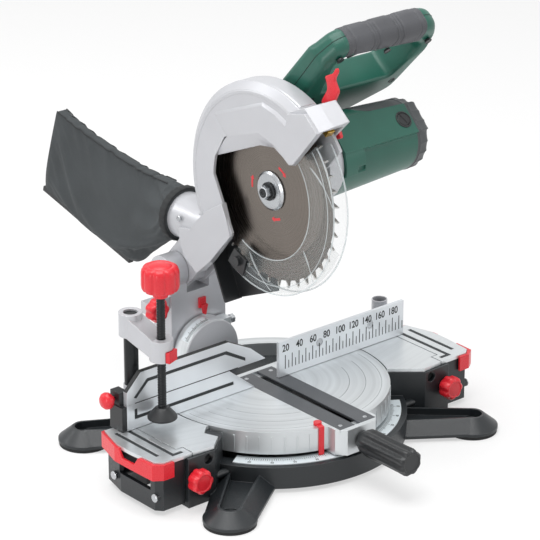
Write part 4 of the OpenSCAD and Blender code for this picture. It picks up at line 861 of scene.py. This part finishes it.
def guard_beads():
    """The clear guard's edges and stiffening ribs as whiter beads that paint their highlights: round beads along its
    arcs, and three pointed ribs on the cheek, all inside the room the blade's upper guard leaves."""
    deg = np.linspace(139, 299, 90)
    # Whiter beads: painted highlights along the clear guard's edges and ribs
    for name, r, x, bead in (("cheek_edge", 74.6, -11.9, 0.6), ("rim_edge_left", 113.6, -11.6, 0.9),
                             ("rim_edge_right", 114.0, 7.2, 1.0), ("cheek_ring", 104.0, -12.0, 0.45)):
        o = tube("guard_" + name, around(ARBOR, x, deg, r), bead, clear_edge_highlight, "swing_guard")
    s = np.linspace(0, 1, 20)
    wide = 0.3 + 0.6 * np.clip(s / 0.12, 0, 1) * np.clip((0.55 - s) / 0.1, 0.25, 1)
    for i, (r0, a0, r1, a1) in enumerate([(90, 146, 112, 172), (80, 216, 112, 224), (79, 288, 111, 264)]):
        path = around(ARBOR, -11.6, a0 + (a1 - a0) * s, r0 + (r1 - r0) * s)
        o = tube("guard_rib_%d" % i, path, wide, clear_edge_highlight, "swing_guard")


# Base: fence scale, slots and the mitre scale

def fence_scale():
    """Right fence rule: a tall tick every 10 mm, a short one at each 5, and a number every 20, on the front face."""
    y = FENCE_Y - 0.05
    centres, half = [], []
    for first, z, wide, tall in ((20, 79.6, 0.55, 8.3), (25, 76.0, 0.5, 4.7)):
        for x in np.arange(first, 196, 10.0):
            centres.append((x, y, z))
            half.append((wide, tall, 0.05))
    o = many("fence_ticks", centres, X, Z, -Y, half, print_black, "base")
    labels = [(str(v), (v + 0.5, y - 0.06, 96.0), (1, 0, 0), (0, 0, 1)) for v in range(20, 200, 20)]
    o = figures("fence_figures", labels, print_black, "base", 8.6)


def slot_fill(name, outline, deep0, deep1, place, body):
    """The floor of a milled slot, black for its paint and as painted shade of the slot's depth: the slot's outline, a
    hair inside its walls.
    """
    # Black sheet: the slot's paint together with painted shade of its depth
    o = slab(name, np.asarray(outline, float), [(0.06, deep0), (0.06, deep1)], place, slot_black_and_shade, body)


def milled_slots():
    """Black slot floors, for their paint and as painted shade of their depth, in the two left fences and in the
    extension plates.
    """
    def on_fence(u, v, h):
        return np.stack([u, FENCE_Y + h, v], -1)
    low = [(-190, 73.9), (-54, 73.9), (-54, 77.9), (-186, 77.9), (-186, 85.9), (-190, 85.9)]
    slot_fill("low_fence_slot", low, 1.95, 0.5, on_fence, "base")
    high = [(-191, 99.3), (-173, 116.8), (-64, 116.8), (-37, 101.3), (-37, 97.3), (-65, 112.8), (-171, 112.8),
            (-187, 97.3)]
    slot_fill("high_fence_slot", high, 1.95, 0.5, on_fence, "sliding_fence")
    plate = (("_slot_long", [(185, -77), (200, -77), (200, 12), (195, 12), (195, -72), (185, -72)]),
             ("_slot_short", [(209, -67), (214, -67), (214, 6), (209, 6)]))
    for side, body in SIDES:
        for kind, outline in plate:
            slot_fill(body + kind, outline, 2.45, 0.7,
                      lambda u, v, h: np.stack([side * u, MITRE_Y + v, TABLE_H - h], -1), body)


def mitre_marks():
    """Mitre scale: a tick each degree, longer at 5 and 10, with numbers every 10, on the white arc before
    the disc."""
    z, ring, figure_ring = 31.26, 131.6, 140.4
    deg = np.arange(-52, 53)
    out, side = spokes(270 + deg, 0, 1)
    length = np.where(deg % 10 == 0, 3.0, np.where(deg % 5 == 0, 2.4, 1.7))
    c = np.array([0, MITRE_Y, z]) + out * (ring + length)[:, None]
    half = np.stack([length, 0 * length + 0.24, 0 * length + 0.04], -1)
    o = many("mitre_ticks", c, out, side, Z, half, print_black, "base")
    tens = np.arange(-50, 51, 10)
    out, side = spokes(270 + tens, 0, 1)
    labels = [(str(abs(d)), np.array([0, MITRE_Y, z + 0.04]) + o_dir * figure_ring, s_dir, -o_dir)
              for d, o_dir, s_dir in zip(tens, out, side)]
    o = figures("mitre_figures", labels, print_black, "base", 3.4)


def turntable_trim():
    """Cutter marks and ribs on the turntable: thin raised arcs on its top, upright ribs round its skirt, and a dark
    floor behind the fence."""
    kerf_half, skirt_r, skirt_z, pocket_r = 27, 131.0, 47.5, 113.5
    for i, (r, a0, a1) in enumerate([(121.5, 184, 356), (104.0, 190, 350), (86.0, 196, 344)]):
        deg = np.linspace(a0, a1, 120)
        mark, tan = spokes(deg[np.abs(r * np.cos(np.radians(deg))) > kerf_half], 0, 1)
        o = many("cutter_mark_%d" % i, np.array([0, MITRE_Y, TABLE_H + 0.03]) + mark * r, tan, mark, Z,
                 (r * 0.0135, 0.35, 0.03), mark_grey, "turntable")
    rad, tan = spokes(np.concatenate([np.arange(188, 252, 6.0), np.arange(290, 353, 6.0)]), 0, 1)
    o = many("skirt_ribs", np.array([0, MITRE_Y, skirt_z]) + rad * skirt_r, tan, rad, Z, (0.8, 0.7, 9.5), disc_alu,
             "turntable")
    a = np.radians(np.linspace(20, 160, 60))
    edge = np.stack([pocket_r * np.cos(a), pocket_r * np.sin(a)], -1)
    o = slab("pocket_floor", np.vstack([edge, [(-106.0, 37.5), (106.0, 37.5)]]), [(0, 41.6), (0, 42.4)],
             lambda u, v, h: np.stack([u, MITRE_Y + v, h], -1), base_coat, "turntable")


def rod_ends():
    """Bright turned ends of the extension rods, flush in the end frames."""
    end = [(0, EPS), (0, 4.6), (0.9, 4.6), (1.4, 4.0), (1.4, EPS)]
    for side, body in SIDES:
        for k, y in enumerate((-6, -76)):
            o = turned("%s_rod_end_%d" % (body, k), end, (side * 223.7, MITRE_Y + y, 21.0), (side, 0, 0), steel, body,
                       turns=32)


def bevel_dial():
    """Front of the tilt barrel: one shallow turned dome, and a printed scale wrapped over the barrel's upper left."""
    dome = [(0, EPS), (0, 37.6), (0.8, 37.6), (1.6, 36.8), (4.4, 24), (6.2, 10), (6.6, EPS)]
    o = turned("barrel_dome", dome, (0, 117.1, TABLE_H), -Y, silver, "turntable", turns=128, crease=24)
    a = np.radians(np.linspace(92, 150, 40))
    band = np.array([(38.0, 119.0), (38.5, 119.0), (38.5, 131.0), (38.0, 131.0)])
    pts = np.stack([np.cos(a)[:, None] * band[:, 0], band[None, :, 1] + 0 * a[:, None],
                    TABLE_H + np.sin(a)[:, None] * band[:, 0]], -1)
    o = skin("bevel_plate", pts, scale_white, "turntable")
    deg = np.arange(94, 149, 2)
    rad, tan = spokes(deg, 0, 2)
    half = np.where(deg % 10 == 4, 3.2, 2.0)
    c = np.array([0, 119.4, TABLE_H]) + rad * 38.52 + half[:, None] * Y
    o = many("bevel_ticks", c, Y, tan, rad, np.stack([half, 0 * half + 0.3, 0 * half + 0.05], -1), print_black,
             "turntable")


def fence_lines():
    """Dark joint between the two left fences and the blackened top edges: thin bars laid along the outlines."""
    bars = [("fence_joint", (-189.5, 92.5), (-48, 92.5), 0.5, -0.05, 0.1, "base"),
            ("fence_top_edge", (-181, 126.4), (-61, 126.4), 0.35, 3.0, 2.7, "sliding_fence"),
            ("fence_front_edge", (-61, 126.4), (-30, 110.4), 0.35, 3.0, 2.7, "sliding_fence"),
            ("fence_rear_edge", (-200, 107.4), (-181, 126.4), 0.35, 3.0, 2.7, "sliding_fence")]
    for name, a, b, thick, deep, wide, body in bars:
        a, b = (np.array([q[0], FENCE_Y + deep, q[1]]) for q in (a, b))
        size = np.linalg.norm(b - a)
        along = (b - a) / size
        o = many(name, [(a + b) / 2], along, Y, (-along[2], 0, along[0]), (size / 2, wide, thick), print_black, body)


# Hand knobs, the clamp's foot and its screw

def star_knob(name, start, r, h, depth, dish, body, node):
    """Moulded knob that faces the operator: a seven-fluted body with a rolled edge, a dished face and a hub collar
    behind; the profile is in shares of its radius and height."""
    prof = [(0, EPS, 0), (0, r * 0.62, 0), (0.14 * h, r * 0.66, 0), (0.2 * h, r * 0.9, 0.7), (0.28 * h, r * 0.985, 1),
            (0.4 * h, r, 1), (0.7 * h, r, 1), (0.86 * h, r * 0.975, 1), (0.95 * h, r * 0.9, 0.8), (h, r * 0.78, 0.35),
            (h, r * (dish + 0.07), 0), (h - 0.8, r * dish, 0), (h - 0.6, r * 0.3, 0), (h - 0.5, EPS, 0)]
    o = turned(name, prof, start, -Y, red, body, flutes=7, depth=depth, turns=7 * 14, crease=40, power=0.7)
    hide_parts(node)


def knobs():
    """The clamp's tall cap with nine narrow flutes, the star knobs, the fence's ball knob and the clamp's foot."""
    cap = [(0, EPS), (0, 8.0), (5.4, 9.0), (6.6, 15.2, 0.2), (7.8, 18.4, 0.7), (10.4, 20.0, 1), (14, 20.5, 1),
           (28, 20.3, 1), (31.4, 19.5, 1), (33.4, 17.8, 0.7), (34.6, 15.2, 0.1), (34.8, 13.8), (34.3, 12.6),
           (35.2, 11.2), (36.6, 7), (37.0, EPS)]
    o = turned("clamp_knob_cap", cap, (CLAMP_X, CLAMP_Y, 216.5), Z, red, "clamp_spindle", flutes=9, depth=1.5,
               turns=180, crease=44, power=2.2)
    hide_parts("clamp_knob")
    for side, hand in ((-1, "left"), (1, "right")):
        star_knob(hand + "_star_knob", (side * 180.0, -75.0, 35.0), 13.6, 17.0, 2.0, 0.62, hand + "_knob",
                  hand + "_extension_knob")
    star_knob("bevel_star_knob", (-66.0, 140.5, 126.5), 14.0, 16.0, 2.2, 0.55, "bevel_lock", "bevel_knob")
    ball = [(0, EPS), (0, 3.4), (3, 3.6), (3.6, 7.2), (5, 8.6), (8, 9.4), (11, 8.9), (13.4, 6.8),
            (14.6, 3.6), (15, EPS)]
    o = turned("fence_ball_knob", ball, (-206.4, 29.0, 97.3), -X, red, "fence_lock", crease=50)
    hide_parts("fence_knob")
    foot = [(0, EPS), (0, 15.2), (0.6, 16.0), (2.4, 16.0), (3.2, 15.3), (5.0, 14.0), (8, 11.6), (10.5, 9.3),
            (12.4, 7.6), (13.2, 6.4), (13.2, 5.2)]
    o = turned("clamp_foot_pad", foot, (CLAMP_X, CLAMP_Y, 76.5), Z, black, "clamp_foot", turns=64)
    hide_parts("clamp_pad")


def twist_grip():
    """Mitre lock grip: an eight-lobed black bar that narrows to its collar, with a dished end."""
    prof = [(0, EPS), (0, 9.6), (3, 10.2), (6, 12.8, 0.3), (10, 14.8, 0.8), (16, 15.5, 1), (42, 15.1, 1),
            (63, 15.1, 1), (73, 15.5, 1), (76.5, 14.6, 0.8), (78, 12.8, 0.3), (78, 10.6), (77.2, 10.0), (77.2, EPS)]
    o = turned("mitre_twist_grip", prof, (0, -137.0, 47.0), -Y, black, "mitre_lock", flutes=8, depth=2.4, turns=112,
               crease=42, power=0.6)
    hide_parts("mitre_handle")


def screw_thread():
    """Rolled thread: a ridge wound up the spindle, its radius a wave of height less turn."""
    low, high, pitch = 82.5, 222, 3.0
    a = np.linspace(0, 2 * math.pi, 24, endpoint=False)
    height = low + (high - low) * np.linspace(0, 1, 420)
    wave = 0.5 + 0.5 * np.cos(2 * math.pi * (height[:, None] / pitch) - a[None])
    r = 4.15 + 0.6 * wave ** 0.8
    p = np.stack([CLAMP_X + r * np.cos(a), CLAMP_Y + r * np.sin(a), height[:, None] + 0 * r], -1)
    o = skin("clamp_thread", p, black_steel, "clamp_spindle", crease=70)
    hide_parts("clamp_screw")


for build in (guard_face, arm_cheek, rim_bead, thumb_lever, laser_block, handle_loop, grip_sleeve, motor_shell,
              brush_cap, dust_bag, blade_tips, blade_print, blade_centre, guard_beads, fence_scale, milled_slots,
              mitre_marks, turntable_trim, rod_ends, bevel_dial, fence_lines, knobs, twist_grip, screw_thread):
    build()


# Camera at the photograph's place, floor and light

PHOTO_PX, FOCAL_PX, SENSOR = 540, 2864, 36
FLOOR_GLOW = 0.55
WORLD_DIM, WORLD_SEEN = 0.42, 1.0


def place_camera():
    """Camera on the fitted line of sight: its three axes as columns, at the fitted point."""
    back = Vector((-0.5965, -0.7053, 0.3830)).normalized()
    right = Vector((0.7636, -0.6457, 0.0)).normalized()
    data = bpy.data.cameras.new("photo_camera")
    cam = bpy.data.objects.new("photo_camera", data)
    scene.collection.objects.link(cam)
    turn = Matrix((right, back.cross(right), back)).transposed().to_4x4()
    cam.matrix_world = Matrix.Translation((-1.8545, -2.1774, 1.3848)) @ turn
    data.lens, data.sensor_width = FOCAL_PX / PHOTO_PX * SENSOR, SENSOR
    data.clip_start, data.clip_end = 0.05, 50
    scene.camera = cam


def lay_floor():
    """A wide pale floor: a square sheet at the feet's level that keeps the shadow, partly glowing to the
    camera and in reflections, white through clear parts."""
    reach = 12.0
    me = bpy.data.meshes.new("floor")
    me.from_pydata([(-reach, -reach, 0), (reach, -reach, 0), (reach, reach, 0), (-reach, reach, 0)], [],
                   [(0, 1, 2, 3)])
    floor = bpy.data.objects.new("floor", me)
    scene.collection.objects.link(floor)
    m, t, s = begin("pale_floor", Roughness=0.6)
    s.inputs["Base Color"].default_value = ink("#fafafa")
    glow = add(t, "ShaderNodeEmission", None, {"Color": ink("#ffffff"), "Strength": 1.0})
    path = add(t, "ShaderNodeLightPath").outputs
    seen = add(t, "ShaderNodeMath", {"operation": "MAXIMUM"}, {0: path["Is Camera Ray"], 1: path["Is Glossy Ray"]})
    sight = add(t, "ShaderNodeMath", {"operation": "MULTIPLY"}, {0: seen.outputs[0], 1: FLOOR_GLOW})
    share = add(t, "ShaderNodeMath", {"operation": "MAXIMUM"}, {0: sight.outputs[0], 1: path["Is Transmission Ray"]})
    mix = add(t, "ShaderNodeMixShader", None, {"Fac": share.outputs[0], 1: s.outputs[0], 2: glow.outputs[0]})
    t.links.new(mix.outputs[0], t.nodes["Material Output"].inputs["Surface"])
    me.materials.append(m)


def lamp(name, at, look, size, power):
    """A square soft box at one point that faces another."""
    data = bpy.data.lights.new(name, "AREA")
    data.shape, data.size, data.energy = "SQUARE", size, power
    o = bpy.data.objects.new(name, data)
    scene.collection.objects.link(o)
    o.location = at
    o.rotation_mode = "QUATERNION"
    o.rotation_quaternion = (Vector(look) - Vector(at)).to_track_quat("-Z", "Y")


def light_world():
    """White surround: full strength to the camera, in reflections and through clear parts, dimmer as a light."""
    world = bpy.data.worlds.new("studio")
    scene.world = world
    world.use_nodes = True
    t = world.node_tree
    path = add(t, "ShaderNodeLightPath").outputs
    sheen = add(t, "ShaderNodeMath", {"operation": "MAXIMUM"},
                {0: path["Is Glossy Ray"], 1: path["Is Transmission Ray"]})
    seen = add(t, "ShaderNodeMath", {"operation": "MAXIMUM"}, {0: sheen.outputs[0], 1: path["Is Camera Ray"]})
    strength = add(t, "ShaderNodeMapRange", None,
                   {"Value": seen.outputs[0], "To Min": WORLD_DIM, "To Max": WORLD_SEEN})
    t.links.new(strength.outputs["Result"], t.nodes["Background"].inputs["Strength"])
    t.nodes["Background"].inputs["Color"].default_value = (1, 1, 1, 1)


place_camera()
lay_floor()
lamp("overhead", (-0.3, 0.1, 2.4), (0, 0, 0.1), 2.2, 56)
lamp("left", (-2.0, -0.6, 0.55), (0, 0, 0.25), 0.5, 8)
lamp("back_left", (-1.4, 1.75, 1.4), (0, 0, 0.25), 0.5, 8)
lamp("right", (1.3, -2.0, 1.2), (0, 0, 0.2), 1.3, 7)
light_world()
scene.view_settings.view_transform = "Standard"
